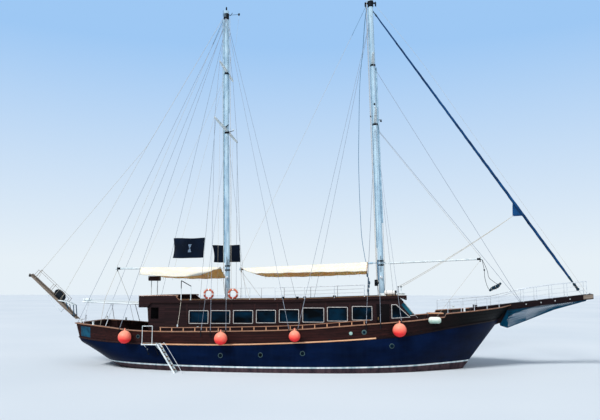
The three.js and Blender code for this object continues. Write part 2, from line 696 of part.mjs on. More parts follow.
function roof() {
  const slab = loft(ROOF_LINE.map(([x, z]) => [
    [x, -ROOF_HALF, z - ROOF_THICK], [x, ROOF_HALF, z - ROOF_THICK], [x, ROOF_HALF, z], [x, -ROOF_HALF, z],
  ]));
  const [aft] = ROOF_LINE[0];
  const front = ROOF_LINE.at(-1)[0];
  const cheek = [
    [aft, FASCIA_FOOT], [HOUSE_AFT, FASCIA_FOOT], [HOUSE_AFT + 260, roofUnder(aft)],
    [COAMING_END + 280, 4080], [COAMING_END + 280, 4140], [COAMING_END + 200, 4190],
    [COAMING_END + 60, COAMING_TOP - 90], [COAMING_END, COAMING_TOP], [aft, COAMING_TOP - 30],
  ];
  const cheeks = [-ROOF_HALF, ROOF_HALF - FASCIA_THICK].map((y) => profile(cheek, y, y + FASCIA_THICK));
  const aftBoard = block(aft, aft + FASCIA_THICK, -ROOF_HALF, ROOF_HALF, FASCIA_FOOT, COAMING_TOP - 40);
  const visor = block(front - 70, front, -ROOF_HALF, ROOF_HALF, 4180, roofTop(front) - 10);
  const { y, r } = LADDER_RAIL;
  const heads = LADDER_RAIL.posts.map(([x, up]) => [x, y, roofTop(x) + up]);
  const posts = heads.map(([x, , z]) => rod([x, y, roofTop(x) - ROOF_THICK / 2], [x, y, z], r));
  const handrail = rod(heads[0], heads[1], r);
  return cut(join(slab, cheeks, aftBoard, visor, posts, handrail), mast(FOREMAST, GAP), mast(MAINMAST, GAP));
}

function doorLeaf() {
  const { x0, x1, play, thick, barrel, top } = DOOR;
  const low = deckTop(x1) + DOOR.sill + play;
  const y = -HOUSE_HALF;
  const axis = doorAxis();
  const leaf = profile(rectangle(x0 + play, x1 - play, low, top - play), y, y + thick,
    [rectangle(x0 + 110, x1 - 110, low + 1050, top - 130)]);
  const pane = profile(rectangle(x0 + 100, x1 - 100, low + 1040, top - 120), y + 16, y + 24);
  const hinges = [low + 200, top - 260].map((z) => join(
    rod([axis[0], axis[1], z], [axis[0], axis[1], z + 90], barrel, barrel, 12),
    block(x1 - 120, axis[0], y - GAP - 5, y - GAP, z + 10, z + 80),
    block(x1 - 120, x1 - 40, y - GAP - 5, y + 1, z + 10, z + 80),
  ));
  return join(leaf, pane, hinges);
}

function doorAxis() {
  return [DOOR.x1 + 15, -HOUSE_HALF - DOOR.barrel - GAP];
}

function helmConsole() {
  const { x0, x1, half, high } = CONSOLE;
  const foot = deckTop(x1) + GAP;
  const top = foot + high;
  return profile([[x0, foot], [x1, foot], [x1, top], [x0 + 60, top - 90], [x0, top - 200]], -half, half);
}

function helmWheel() {
  const z = deckTop(CONSOLE.x1) + WHEEL.up;
  const ring = new THREE.TorusGeometry(WHEEL.ring, 18, 6, 24).applyMatrix4(CROSS_BASIS);
  const hub = rod([-40, 0, 0], [CONSOLE.x0 - WHEEL.x - GAP, 0, 0], 48, 48, 16);
  const spokes = Array.from({ length: WHEEL.spokes / 2 }, (_, i) => (
    rod([0, 0, -WHEEL.grip], [0, 0, WHEEL.grip], 14, 14, 6).rotateX((2 * Math.PI * i) / WHEEL.spokes)
  ));
  return join(ring, hub, spokes).translate(WHEEL.x, 0, z);
}

// Masts, booms and rigging

function mast(spec, grow = 0) {
  const foot = deckTop(mastX(spec, 2000)) - DECK_THICK / 2;
  return rod([mastX(spec, foot), 0, foot - grow], [mastX(spec, spec.top), 0, spec.top + grow],
    mastR(spec, foot) + grow, mastR(spec, spec.top) + grow, 16);
}

function goosenecks(spec, boomZ, ahead) {
  const r = mastR(spec, boomZ);
  const x = mastX(spec, boomZ);
  const pin = x + ahead * (r + LUG.out - LUG.half);
  const plates = [-1, 1].map((side) => {
    const z = boomZ + side * (LUG.apart + LUG.thick / 2);
    const [x0, x1] = [x, pin + ahead * LUG.half].sort((a, b) => a - b);
    return block(x0, x1, -LUG.half, LUG.half, z - LUG.thick / 2, z + LUG.thick / 2);
  });
  return plates;
}

function pinX(spec, boomZ, ahead) {
  return mastX(spec, boomZ) + ahead * (mastR(spec, boomZ) + LUG.out - LUG.half);
}

// The mast with its spreaders and head
function spreaderMast(spec, spreaders, grow = 0) {
  const arms = spreaders.flatMap(([z, half]) => [1, -1].map((side) => {
    const [x, tip] = [mastX(spec, z), side * (half - WIRE_R - 4 + grow)];
    return rod([x, 0, z], [x, tip, z], SPREADER_R + grow, SPREADER_R * 0.6 + grow);
  }));
  const head = mastR(spec, spec.top) + TRUCK.out + grow;
  const x = mastX(spec, spec.top);
  const truck = rod([x, 0, spec.top - TRUCK.high - grow], [x, 0, spec.top + 40 + grow], head, head, 12);
  return join(mast(spec, grow), arms, truck);
}

function dressedMast(spec, spreaders, fittings) {
  return mainBody(cut(join(spreaderMast(spec, spreaders), fittings), planks(GAP)));
}

function foremast() {
  const lugs = [...goosenecks(FOREMAST, FORE_BOOM.z, -1), ...goosenecks(FOREMAST, DERRICK.z, 1)];
  return dressedMast(FOREMAST, FORE_SPREADERS, lugs);
}

function mainmast() {
  return dressedMast(MAINMAST, MAIN_SPREADERS, goosenecks(MAINMAST, MAIN_BOOM.z, -1));
}

function boom(spec, mastSpec, ahead) {
  const x = pinX(mastSpec, spec.z, ahead);
  const eye = rod([x, 0, spec.z - LUG.apart + GAP], [x, 0, spec.z + LUG.apart - GAP], EYE_R, EYE_R, 12);
  const neckEnd = x + ahead * 260;
  const neck = rod([x, 0, spec.z], [neckEnd, 0, spec.z], 30, 30, 8);
  const end = [spec.endX, 0, spec.endZ];
  const spar = rod([neckEnd, 0, spec.z], end, spec.r, spec.r, 12);
  const capR = spec.r + 14;
  const cap = rod([spec.endX - ahead * 100, 0, spec.endZ], end, capR, capR, 12);
  return join(eye, neck, spar, cap);
}

function awning(table, spec, mastSpec) {
  const start = pinX(mastSpec, spec.z, -1) - 260;
  const line = [[spec.endX, spec.endZ], [start, spec.z]];
  return loft(table.map(([ridgeX, edgeX, half, starboardZ, portZ]) => {
    const ridge = alongLine(line, ridgeX) + spec.r + GAP;
    const under = [-1, -0.5, -STRIP / half, STRIP / half, 0.5, 1].map((share) => {
      const edge = share < 0 ? starboardZ : portZ;
      const reach = Math.abs(share) < 0.1 ? 0 : Math.abs(share);
      const sag = 60 * Math.sin(Math.PI * reach);
      return [ridgeX + (edgeX - ridgeX) * reach, share * half, ridge + (edge - ridge) * reach - sag];
    });
    const over = under.map(([x, y, z]) => [x, y, z + CLOTH]);
    return [...under, ...over.reverse()];
  }));
}

function sternAwning() {
  const { x0, x1, half, z0, z1, thick, crown } = STERN_AWNING;
  const ring = (x, z) => {
    const top = [-1, -0.5, 0, 0.5, 1].map((share) => [x, share * half, z + crown * (1 - share ** 2)]);
    return [...top.map(([a, b, c]) => [a, b, c - thick]), ...top.reverse()];
  };
  return loft([ring(x0, z0), ring((x0 + x1) / 2, (z0 + z1) / 2 - 20), ring(x1 - GAP, z1)]);
}

function sternAwningFrame() {
  const { x0, x1, half, z0, z1, thick } = STERN_AWNING;
  const under = (x) => alongLine([[x0, z0], [(x0 + x1) / 2, (z0 + z1) / 2 - 20], [x1, z1]], x) - thick - 24;
  const rails = [1, -1].map((side) => chain(
    [x0 + 60, (x0 + x1) / 2, x1 - 30].map((x) => [x, side * (half - 60), under(x)]), 22,
  ));
  const posts = STERN_POSTS.flatMap((x) => [1, -1].map((side) => {
    const cap = capAt(x);
    return rod([x, side * (cap.y - 60), cap.z + GAP + 4], [x, side * (half - 60), under(x)], 24);
  }));
  const bars = [x0 + 60, STERN_POSTS[1]].map((x) => (
    rod([x, 60 - half, under(x)], [x, half - 60, under(x)], 22)
  ));
  return cut(join(rails, posts, bars), capStrake(GAP));
}

function furledJib() {
  const [top, foot] = [[mastX(FOREMAST, 23450), 0, 23450], [17310, 0, beamTop(17310)]];
  const point = (share) => top.map((v, k) => v + (foot[k] - v) * share);
  // Columns: share of the stay's length, radius of the rolled sail
  const roll = [[0.03, 45], [0.3, 75], [0.7, 95], [0.955, 70]];
  const sail = roll.slice(1).map(([share, r], i) => rod(point(roll[i][0]), point(share), roll[i][1], r, 10));
  const drum = [rod(point(0.965), point(0.985), 135, 135, 12), rod(point(0.95), point(0.965), 60, 60, 8)];
  const stay = rod(top, point(0.99), 14);
  const tack = rod(point(0.98), [foot[0] + 60, 0, foot[2] - 40], 22);
  return mainBody(cut(join(stay, sail, drum, tack), spreaderMast(FOREMAST, [], GAP), beam(GAP)));
}

function innerStays() {
  const { x, half, thick, up, wireR } = STAY_PLATE;
  const top = beamTop(x);
  const plate = block(x - half, x + half, -thick / 2, thick / 2, top - up, top + up);
  const wires = INNER_STAYS.map(([z, ahead]) => (
    rod([mastX(FOREMAST, z), 0, z], [x + ahead, 0, top + 15], wireR, wireR, 6)
  ));
  return mainBody(cut(join(plate, wires), mast(FOREMAST, GAP), beam(GAP)));
}

// Where a wire ends inside the rail cap, on the starboard side
function railFoot(x) {
  const cap = capAt(x);
  return [x, -(cap.y + 35), cap.z - CAP_THICK / 2];
}

// A wire from the mast over its spreaders' tips to the rail cap, on the starboard side
function shroud(spec, topZ, spreaders, railX) {
  const tips = spreaders.map(([z, half]) => [mastX(spec, z), -half, z]);
  const points = [[mastX(spec, topZ), 0, topZ], ...tips, railFoot(railX)];
  return mainBody(cut(chain(points, WIRE_R), spreaderMast(spec, spreaders, GAP), capStrake(GAP)));
}

// The mainmast's wires to the rail and to the transom, on the starboard side
function backstays() {
  const { top, out, tang, railFeet, quarter } = BACKSTAYS;
  const x = mastX(MAINMAST, top);
  const y = -(mastR(MAINMAST, top) + out);
  const plate = block(x - tang, x + tang, y - 20, 0, top - tang * 1.5, top + tang);
  const [stern] = CAP_LINE;
  const feet = [...railFeet.map(railFoot), [stern.x, -quarter, stern.z - CAP_THICK / 2]];
  const wires = feet.map((foot, i) => {
    const [ahead, up] = BACKSTAY_TOPS[i];
    return rod([x + ahead, y, top + up], foot, WIRE_R, WIRE_R, 6);
  });
  return mainBody(cut(join(plate, wires), spreaderMast(MAINMAST, [], GAP), capStrake(GAP)));
}

// Rails and deck gear

function sideRail() {
  const { x0, x1, pitch, up, inset, wide, thick, post } = SIDE_RAIL;
  const xs = [x0, ...CAP_LINE.map((p) => p.x).filter((x) => x > x0 && x < x1), x1];
  const wood = loft(xs.map((x) => {
    const { y, z } = capAt(x);
    const [low, high] = [z + up - thick, z + up];
    const [out, inside] = [-y + inset, -y + inset + wide];
    return [[x, out, low], [x, inside, low], [x, inside, high], [x, out, high]];
  }));
  const posts = [];
  for (let x = x0 + post; x < x1; x += pitch) {
    const { y, z } = capAt(x);
    const [middle, half] = [-y + inset + wide / 2, post / 2];
    posts.push(block(x - half, x + half, middle - half, middle + half, z - 30, z + up - thick / 2));
  }
  return join(wood, cut(join(posts), capStrake(GAP)));
}

function roofRail() {
  const { half, up, mid } = ROOF_RAIL;
  const sides = [-half, half].map((y) => {
    const tops = ROOF_POSTS.map((x) => [x, y, roofTop(x) + up]);
    const mids = ROOF_POSTS.map((x) => [x, y, roofTop(x) + mid]);
    const posts = ROOF_POSTS.map((x) => (
      rod([x, y, roofTop(x) + GAP + 0.5], [x, y, roofTop(x) + up], POST_R, POST_R, 6)
    ));
    return join(chain(tops, RAIL_R), chain(mids, 12), posts);
  });
  const [x] = ROOF_POSTS;
  return join(sides, rod([x, -half, roofTop(x) + up], [x, half, roofTop(x) + up], RAIL_R));
}

function roofBox() {
  const { x, y, z, long, deep, high, apart } = ROOF_BOX;
  const bevel = 60;
  const outline = [
    [x - long / 2 + bevel, z - high / 2], [x + long / 2 - bevel, z - high / 2],
    [x + long / 2, z - high / 2 + bevel], [x + long / 2, z + high / 2],
    [x - long / 2, z + high / 2], [x - long / 2, z - high / 2 + bevel],
  ];
  const posts = [-1, 1].map((side) => {
    const px = x + (side * apart) / 2;
    return rod([px, y, roofTop(px) + GAP + 0.5], [px, y, z], 25);
  });
  return join(profile(outline, y - deep / 2, y + deep / 2), posts);
}

function hatchLid() {
  const { x0, x1, half, top, lid, over } = HATCH;
  const axis = hatchAxis();
  const board = block(x0 - over, x1 + over, -half - over, half + over, top + GAP, top + lid);
  const barrels = [-1, 1].map((side) => join(
    rod([axis[0], side * 300 - 60, axis[1]], [axis[0], side * 300 + 60, axis[1]], 12, 12, 12),
    block(x1 + over - 10, axis[0], side * 300 - 50, side * 300 + 50, top + lid - 14, top + lid),
  ));
  return join(board, barrels);
}

function hatchAxis() {
  return [HATCH.x1 + HATCH.over + 14, HATCH.top + HATCH.lid - 12];
}

// Built lying aft from its hinge, then raised
function passerelle() {
  const { x, y, z, length, half, angle } = PASSERELLE;
  const barrel = rod([0, -half, 0], [0, half, 0], 32, 32, 12);
  const spars = [-1, 1].map((side) => {
    const y0 = side > 0 ? half - 55 : -half;
    const outline = [[-20, -30], [-20, 30], [-1250, 110], [-length, 60], [-length, -40], [-1250, -60]];
    return profile(outline, y0, y0 + 55);
  });
  const boards = block(-length + 20, -60, -half + 20, half - 20, -12, 18);
  const hoops = [-1, 1].flatMap((side) => [-1300, -2700, -4100].map((at) => (
    rod([at, side * (half - 28), 0], [at, side * (half - 28), 620], 14)
  )));
  const handrails = [-1, 1].map((side) => (
    rod([-1300, side * (half - 28), 610], [-4100, side * (half - 28), 610], 10, 10, 6)
  ));
  const geometry = join(barrel, spars, boards, hoops, handrails);
  return geometry.rotateY(THREE.MathUtils.degToRad(angle)).translate(x, y, z);
}

// A big soft fender lashed on the gangway's boards
function blackFender() {
  const { x, y, z, angle, half } = PASSERELLE;
  const across = half - 70;
  const body = new THREE.SphereGeometry(1, 16, 10).scale(440, across, 300);
  const geometry = body.translate(-1980, 0, 300 + 18.5);
  return geometry.rotateY(THREE.MathUtils.degToRad(angle)).translate(x, y, z);
}

function boardingPlatform() {
  const { x0, x1, y, z, thick, rail } = PLATFORM;
  const plate = block(x0, x1, y, -3000, z - thick, z);
  const edge = y + 40;
  const posts = [x0 + 40, x0 + 640].map((x) => rod([x, edge, z - 10], [x, edge, rail], 18));
  const bar = rod([x0 + 40, edge, rail], [x0 + 640, edge, rail], 18);
  const returnBar = rod([x0 + 40, edge, rail], [x0 + 40, -3000, rail - 120], 18);
  const struts = [x0 + 120, x1 - 120].map((x) => rod([x, y + 120, z - thick + 10], [x, -3000, z - 560], 22));
  const [pinAt, , pinZ] = ladderHinge();
  const lugs = [LADDER.y0 + 60, LADDER.y1 - 90].map((at) => {
    const [low, high] = [pinZ - thick / 2, pinZ + thick / 2];
    return block(x1 - 20, pinAt + 30, at, at + 30, low, high);
  });
  const r = LADDER.barrel + PIN_GAP / 2;
  const bore = rod([pinAt, LADDER.y0, pinZ], [pinAt, LADDER.y1, pinZ], r, r, 16);
  const body = join(plate, posts, bar, returnBar, struts, lugs);
  return mainBody(cut(body, bore, hullBody(GAP), bulwark(GAP), capStrake(GAP)));
}

// Built hanging forward from its hinge, then turned down
function boardingLadder() {
  const { y0, y1, length, angle, rungs, barrel } = LADDER;
  const spars = [y0, y1 - 32].map((y) => block(0, length, y, y + 32, -45, 45));
  const pitch = length / (rungs + 0.5);
  const steps = Array.from({ length: rungs }, (_, i) => {
    const at = (i + 1) * pitch - 40;
    return block(at, at + 90, y0 + 10, y1 - 10, -14, 14);
  });
  const pin = rod([0, y0, 0], [0, y1, 0], barrel, barrel, 16);
  const geometry = join(spars, steps, pin);
  return geometry.rotateY(THREE.MathUtils.degToRad(angle)).translate(...ladderHinge());
}

function ladderHinge() {
  return [PLATFORM.x1 + LADDER.away + GAP, 0, PLATFORM.z - PLATFORM.thick / 2];
}

function lifebuoy(x) {
  const z = roofTop(x) + BUOY.ring + BUOY.tube + 30;
  const ring = new THREE.TorusGeometry(BUOY.ring, BUOY.tube, 10, 24).rotateX(Math.PI / 2);
  const foot = block(-90, 90, -30, 30, -(BUOY.ring + BUOY.tube + 30) + GAP + 0.7, -BUOY.ring);
  return join(ring, foot).translate(x, BUOY.y, z);
}

function ballFender([x, z, r]) {
  const wall = Math.max(level(x, "half"), level(x, "railHalf"));
  const centre = [x, -(wall + WALE_OUT + r + 12), z];
  const cap = capAt(x);
  const lanyard = rod([x, centre[1], z + r - 30], [x, -(cap.y + 20), cap.z - CAP_THICK / 2], 13);
  const neck = rod([x, centre[1], z + r - 40], [x, centre[1], z + r + 50], 45, 30, 12);
  return mainBody(cut(join(ball(centre, r, 16, 10), neck, lanyard), capStrake(GAP), bulwark(GAP)));
}

function longFender() {
  const { x0, x1, z, r } = LONG_FENDER;
  const y = -(Math.max(level(x0, "railHalf"), capAt(x0).y) + CAP_OUT + r + 8);
  const [inner0, inner1] = [x0 + 90, x1 - 90];
  const middle = rod([inner0, y, z], [inner1, y, z], r, r, 16);
  const ends = [[inner0, x0], [inner1, x1]].map(([from, to]) => (
    rod([from, y, z], [to, y, z], r, r * 0.6, 16)
  ));
  const lanyards = [x0 + 60, x1 - 60].map((x) => {
    const cap = capAt(x);
    return rod([x, y, z + r * 0.5], [x, -(cap.y + 20), cap.z - CAP_THICK / 2], 13);
  });
  return mainBody(cut(join(middle, ends, lanyards), capStrake(GAP)));
}

// A halyard from the lower spreader to the side rail, with the flag flying aft of it, on the starboard side
function flagHoist(footX) {
  const [z] = MAIN_SPREADERS[1];
  const x = mastX(MAINMAST, z);
  const foot = capAt(footX);
  const top = [x, -FLAG.y, z];
  const inset = SIDE_RAIL.inset + SIDE_RAIL.wide / 2;
  const low = [footX, -(foot.y - inset), foot.z + SIDE_RAIL.up + GAP + 0.5];
  const along = (height) => {
    const s = (height - low[2]) / (top[2] - low[2]);
    return [low[0] + (top[0] - low[0]) * s, low[1] + (top[1] - low[1]) * s, height];
  };
  const [a, b] = [along(FLAG.foot), along(FLAG.foot + FLAG.high)];
  const cloth = loft([0, 0.5, 1].map((share) => {
    const drop = 70 * share;
    const ring = [[a, -1, 0], [a, 1, 0], [b, 1, 0], [b, -1, 0]];
    return ring.map(([p, side]) => [p[0] - FLAG.long * share, p[1] + (side * FLAG.thick) / 2, p[2] - drop]);
  }));
  const arm = rod([x, 0, z], [x, -4000, z], SPREADER_R + GAP, SPREADER_R * 0.6 + GAP);
  return mainBody(cut(join(rod(top, low, FLAG.r, FLAG.r, 6), cloth), arm));
}

// Materials

const material = (color, roughness = 0.7, metalness = 0) => (
  new THREE.MeshStandardMaterial({ color, roughness, metalness })
);
const NAVY = material(0x0b1630, 0.35);
const ANTIFOUL = material(0x3a1c1c, 0.85);
const TEAK = material(0x9c7550, 0.75);
const MAHOGANY = material(0x3a1a12, 0.4);
const VARNISH = material(0xb07a48, 0.35);
const WHITE_SPAR = material(0xe9edf0, 0.4);
const CREAM = material(0xf2e8cf, 0.85);
const WHITE_CLOTH = material(0xf5f5f2, 0.85);
const STEEL = material(0xc8ccd0, 0.25, 1);
const WIRE = material(0x60666c, 0.45, 1);
const DARK_GLASS = material(0x101820, 0.1);
const BRONZE = material(0xa8763a, 0.35, 1);
const CORAL = material(0xf0564a, 0.5);
const ORANGE = material(0xe06030, 0.55);
const BLUE_SAIL = material(0x1d4f86, 0.8);
const BLACK_CLOTH = material(0x0c0f16, 0.9);
const RUBBER = material(0x101010, 0.8);
const NET = material(0x2b3a44, 0.9);
const PAINTED = material(0xdfe6e4, 0.5);

const boat = new THREE.Group();

function add(name, geometry, look) {
  const mesh = new THREE.Mesh(geometry, look);
  mesh.name = name;
  boat.add(mesh);
}

// A starboard piece and its mirror image to port
function addPair(name, geometry, look) {
  add(`${name}_starboard`, geometry, look);
  add(`${name}_port`, mirrored(geometry), look);
}

add("hull", hull(), NAVY);
add("keel", keel(), ANTIFOUL);
add("deck", deck(), TEAK);
add("hatch_coaming", hatchCoaming(), VARNISH);
add("bulwark", mainBody(cut(bulwark(), beam(GAP), capStrake(GAP))), MAHOGANY);
add("rail_cap", railCap(), VARNISH);
add("rudder", rudder(), ANTIFOUL);
add("propeller", propeller(), BRONZE);
add("bow_platform", bowPlatform(), MAHOGANY);
add("bow_rail", bowRail(), STEEL);
add("bow_net", bowNet(), NET);

addPair("deckhouse_side", sideWall(), MAHOGANY);
addPair("side_glass", sideGlass(), DARK_GLASS);
add("deckhouse_front", houseFront(), MAHOGANY);
add("windscreen_glass", windscreen(), DARK_GLASS);
add("deckhouse_aft_wall", aftWall(), MAHOGANY);
add("deckhouse_roof", roof(), MAHOGANY);
addPair("side_door", doorLeaf(), MAHOGANY);
add("helm_console", helmConsole(), MAHOGANY);
add("helm_wheel", helmWheel(), VARNISH);

add("foremast", foremast(), WHITE_SPAR);
add("mainmast", mainmast(), WHITE_SPAR);
add("fore_boom", boom(FORE_BOOM, FOREMAST, -1), WHITE_SPAR);
add("main_boom", boom(MAIN_BOOM, MAINMAST, -1), WHITE_SPAR);
add("derrick_boom", boom(DERRICK, FOREMAST, 1), WHITE_SPAR);
add("fore_awning", awning(FORE_AWNING, FORE_BOOM, FOREMAST), CREAM);
add("main_awning", awning(MAIN_AWNING, MAIN_BOOM, MAINMAST), CREAM);
add("stern_awning", sternAwning(), WHITE_CLOTH);
add("stern_awning_frame", sternAwningFrame(), STEEL);
add("furled_jib", furledJib(), BLUE_SAIL);
add("staysail_stay", innerStays(), WIRE);
addPair("fore_shroud", shroud(FOREMAST, 23200, FORE_SPREADERS, 5000), WIRE);
addPair("main_shroud", shroud(MAINMAST, 22800, MAIN_SPREADERS, -4900), WIRE);
addPair("fore_runner", shroud(FOREMAST, 22900, [], 250), WIRE);
addPair("main_runner", backstays(), WIRE);

addPair("side_rail", sideRail(), VARNISH);
add("roof_rail", roofRail(), STEEL);
add("roof_box", roofBox(), MAHOGANY);
add("hatch_lid", hatchLid(), VARNISH);
add("passerelle", passerelle(), PAINTED);
add("black_fender", blackFender(), RUBBER);
add("boarding_platform", boardingPlatform(), PAINTED);
add("boarding_ladder", boardingLadder(), PAINTED);
LIFEBUOYS.forEach((x, i) => add(`lifebuoy_${i + 1}`, lifebuoy(x), ORANGE));
FENDERS.forEach((row, i) => add(`ball_fender_${i + 1}`, ballFender(row), CORAL));
add("long_fender", longFender(), WHITE_CLOTH);
add("flag_starboard", flagHoist(FLAG_FEET.starboard), BLACK_CLOTH);
add("flag_port", mirrored(flagHoist(FLAG_FEET.port)), BLACK_CLOTH);

export default boat;
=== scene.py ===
# Looks of the two-masted wooden tour boat. Metres, +X to the bow, +Y to port, the waterline at z = 0.
import math
import random

import bmesh
import bpy
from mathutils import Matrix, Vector


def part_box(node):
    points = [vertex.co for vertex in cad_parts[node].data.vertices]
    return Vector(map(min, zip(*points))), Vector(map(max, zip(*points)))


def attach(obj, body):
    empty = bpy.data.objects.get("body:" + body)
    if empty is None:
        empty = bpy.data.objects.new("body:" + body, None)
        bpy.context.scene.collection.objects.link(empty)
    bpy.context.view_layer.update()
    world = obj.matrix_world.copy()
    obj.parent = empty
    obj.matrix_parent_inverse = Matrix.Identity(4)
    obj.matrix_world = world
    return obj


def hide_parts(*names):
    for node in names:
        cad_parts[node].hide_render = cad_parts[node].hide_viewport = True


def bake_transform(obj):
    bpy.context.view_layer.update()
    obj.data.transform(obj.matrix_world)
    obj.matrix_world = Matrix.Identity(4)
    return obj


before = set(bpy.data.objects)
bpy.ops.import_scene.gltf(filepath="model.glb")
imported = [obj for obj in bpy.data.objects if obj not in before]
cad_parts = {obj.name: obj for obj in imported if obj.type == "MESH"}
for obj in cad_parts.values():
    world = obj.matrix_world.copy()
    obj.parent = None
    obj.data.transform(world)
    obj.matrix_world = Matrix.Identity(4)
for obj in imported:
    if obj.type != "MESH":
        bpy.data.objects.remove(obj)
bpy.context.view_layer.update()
SIDES = {"starboard": -1, "port": 1}
UP = Vector((0, 0, 1))
ACROSS = Vector((0, 1, 0))

# Camera

camera_data = bpy.data.cameras.new("camera")
camera_data.lens = 37.2
camera_data.sensor_width = 36
camera_data.clip_end = 600
camera = bpy.data.objects.new("camera", camera_data)
camera.location = (4.18, -39.78, 5.0)
camera.rotation_euler = (math.radians(96.99), 0, math.radians(6.0))
bpy.context.collection.objects.link(camera)
bpy.context.scene.camera = camera


# Materials: every one has procedural grain, weave or wear

def srgb(r, g, b):
    return tuple((c / 255 / 12.92) if c < 11 else ((c / 255 + 0.055) / 1.055) ** 2.4
                 for c in (r, g, b)) + (1,)


class Look:
    """A material under construction. Colours are sRGB, 0 to 255"""

    def __init__(self, name, **settings):
        self.material = bpy.data.materials.new(name)
        self.material.use_nodes = True
        self.tree = self.material.node_tree
        self.shader = self.tree.nodes["Principled BSDF"]
        settings.setdefault("Specular_IOR_Level", 0.07)
        for key, value in settings.items():
            self.shader.inputs[key.replace("_", " ")].default_value = value

    def node(self, kind, inputs, out=0, **settings):
        made = self.tree.nodes.new("ShaderNode" + kind)
        for key, value in settings.items():
            setattr(made, key, value)
        for key, value in inputs.items():
            if isinstance(value, bpy.types.NodeSocket):
                self.tree.links.new(value, made.inputs[key])
            else:
                made.inputs[key].default_value = value
        return made.outputs[out]

    def math(self, operation, a, b):
        return self.node("Math", {0: a, 1: b}, operation=operation)

    def mix(self, share, a, b, blend="MIX"):
        a, b = (v if isinstance(v, bpy.types.NodeSocket) else srgb(*v) for v in (a, b))
        return self.node("Mix", {0: share, 6: a, 7: b}, 2, data_type="RGBA", blend_type=blend)

    def ramp(self, factor, *stops):
        made = self.node("ValToRGB", {0: factor})
        for point, (place, colour) in zip(made.node.color_ramp.elements, stops):
            point.position = place
            point.color = srgb(*colour)
        return made

    def coords(self, kind="Object", scale=(1, 1, 1), turn=(0, 0, 0)):
        source = self.tree.nodes.new("ShaderNodeTexCoord").outputs[kind]
        return self.node("Mapping", {"Vector": source, "Scale": scale, "Rotation": turn})

    def axes(self, kind="Object"):
        """The coordinates, each by itself"""
        return self.node("SeparateXYZ", {0: self.coords(kind)}).node.outputs

    def boards(self, vector, long, wide, seam, soft, **tints):
        """Boards that run along the vector's first coordinate"""
        return self.node("TexBrick",
                         {"Vector": vector, "Scale": 1.0, "Mortar Size": seam, "Mortar Smooth": soft,
                          "Brick Width": long, "Row Height": wide, **tints}).node.outputs

    def noise(self, vector, scale, detail=5.0, rough=0.55):
        return self.node("TexNoise",
                         {"Vector": vector, "Scale": scale, "Detail": detail, "Roughness": rough})

    def spread(self, factor, low, high):
        return self.node("MapRange", {0: factor, 1: 0.3, 2: 0.7, 3: low, 4: high})

    def bump(self, height, strength, distance, after=None):
        below = {"Normal": after} if after else {}
        return self.node("Bump", {"Height": height, "Strength": strength, "Distance": distance, **below})

    def wire(self, **sockets):
        for key, value in sockets.items():
            self.tree.links.new(value, self.shader.inputs[key.replace("_", " ")])
        return self.material


def wood(name, light, dark, rough, coat=0.0, grain=(0.5, 14, 14), board=None, seam=None, worn=None,
         ahead=None):
    """Timber. board: (axis across the boards, their width, their length); axis "v" takes the UV map.
    ahead: painted shade towards the bow: (x where it starts to darken, x where it is darkest, the shade's
    colour)"""
    look = Look(name, Coat_Weight=coat, Coat_Roughness=0.12)
    field = look.noise(look.coords(scale=grain), 1.6, 8, 0.6)
    colour = look.ramp(field, (0.3, dark), (0.7, light))
    broad = look.noise(look.coords(scale=(0.25, 0.6, 1.2)), 1.7, 3)
    colour = look.mix(look.spread(broad, 0.0, 0.4), colour, worn or dark)
    normal = look.bump(field, 0.25, 0.004)
    if board:
        across, width, length = board
        place = None if across == "v" else look.axes()
        flat = look.node("CombineXYZ",
                         {0: place[0], 1: place["xyz".index(across)]}) if place else look.coords("UV")
        boards = look.boards(flat, length, width, 0.006, 0.4, Color1=(1, 1, 1, 1),
                             Color2=(0.55, 0.55, 0.55, 1), Mortar=(0, 0, 0, 1))
        colour = look.mix(0.75, colour, boards["Color"], "MULTIPLY")
        colour = look.mix(boards["Fac"], colour, seam)
        normal = look.bump(look.math("SUBTRACT", 1.0, boards["Fac"]), 0.5, 0.004, normal)
    # Painted shade: the wood darkens towards the bow
    if ahead:
        start, stop, bow_shade_colour = ahead
        share = look.node("MapRange", {0: look.axes()[0], 1: start, 2: stop, 3: 0.0, 4: 0.93})
        colour = look.mix(share, colour, bow_shade_colour)
    return look.wire(Base_Color=colour, Roughness=look.spread(broad, *rough), Normal=normal)


def paint(name, colour, shade, rough, coat=0.0, scale=3.0, metal=0.0, stretch=(1, 1, 1)):
    look = Look(name, Coat_Weight=coat, Coat_Roughness=0.1, Metallic=metal)
    broad = look.noise(look.coords(scale=stretch), scale, 4)
    fine = look.noise(look.coords(scale=stretch), scale * 14, 3)
    tint = look.ramp(broad, (0.35, shade), (0.62, colour))
    return look.wire(Base_Color=tint, Roughness=look.spread(fine, *rough),
                     Normal=look.bump(fine, 0.06, 0.003))


def cloth(name, colour, shade, weave=180.0, through=0.0):
    """Woven cloth. through: how much light passes it"""
    look = Look(name, Sheen_Weight=0.08, Sheen_Roughness=0.5, Subsurface_Weight=through,
                Subsurface_Scale=0.03, Subsurface_Radius=(1.0, 0.8, 0.5))
    broad = look.noise(look.coords(), 1.3, 4)
    tint = look.ramp(broad, (0.3, shade), (0.65, colour))
    warp, weft = (look.node("TexWave", {"Vector": look.coords(), "Scale": weave}, bands_direction=way)
                  for way in "XY")
    creases = look.bump(look.noise(look.coords(scale=(0.5, 1.6, 1)), 1.9, 3), 0.35, 0.05)
    threads = look.bump(look.math("ADD", warp, weft), 0.1, 0.001, creases)
    return look.wire(Base_Color=tint, Roughness=look.spread(broad, 0.78, 0.92), Normal=threads)


def rope(name, colour, shade):
    look = Look(name)
    lay = look.node("TexWave",
                    {"Vector": look.coords(turn=(0.6, 0.5, 0.4)), "Scale": 70.0, "Distortion": 1.5})
    # Darker in the grooves of the lay: painted shade
    tint = look.ramp(lay, (0.1, shade), (0.8, colour))
    rough = look.spread(look.noise(look.coords(), 9), 0.7, 0.9)
    return look.wire(Base_Color=tint, Roughness=rough, Normal=look.bump(lay, 0.4, 0.004))


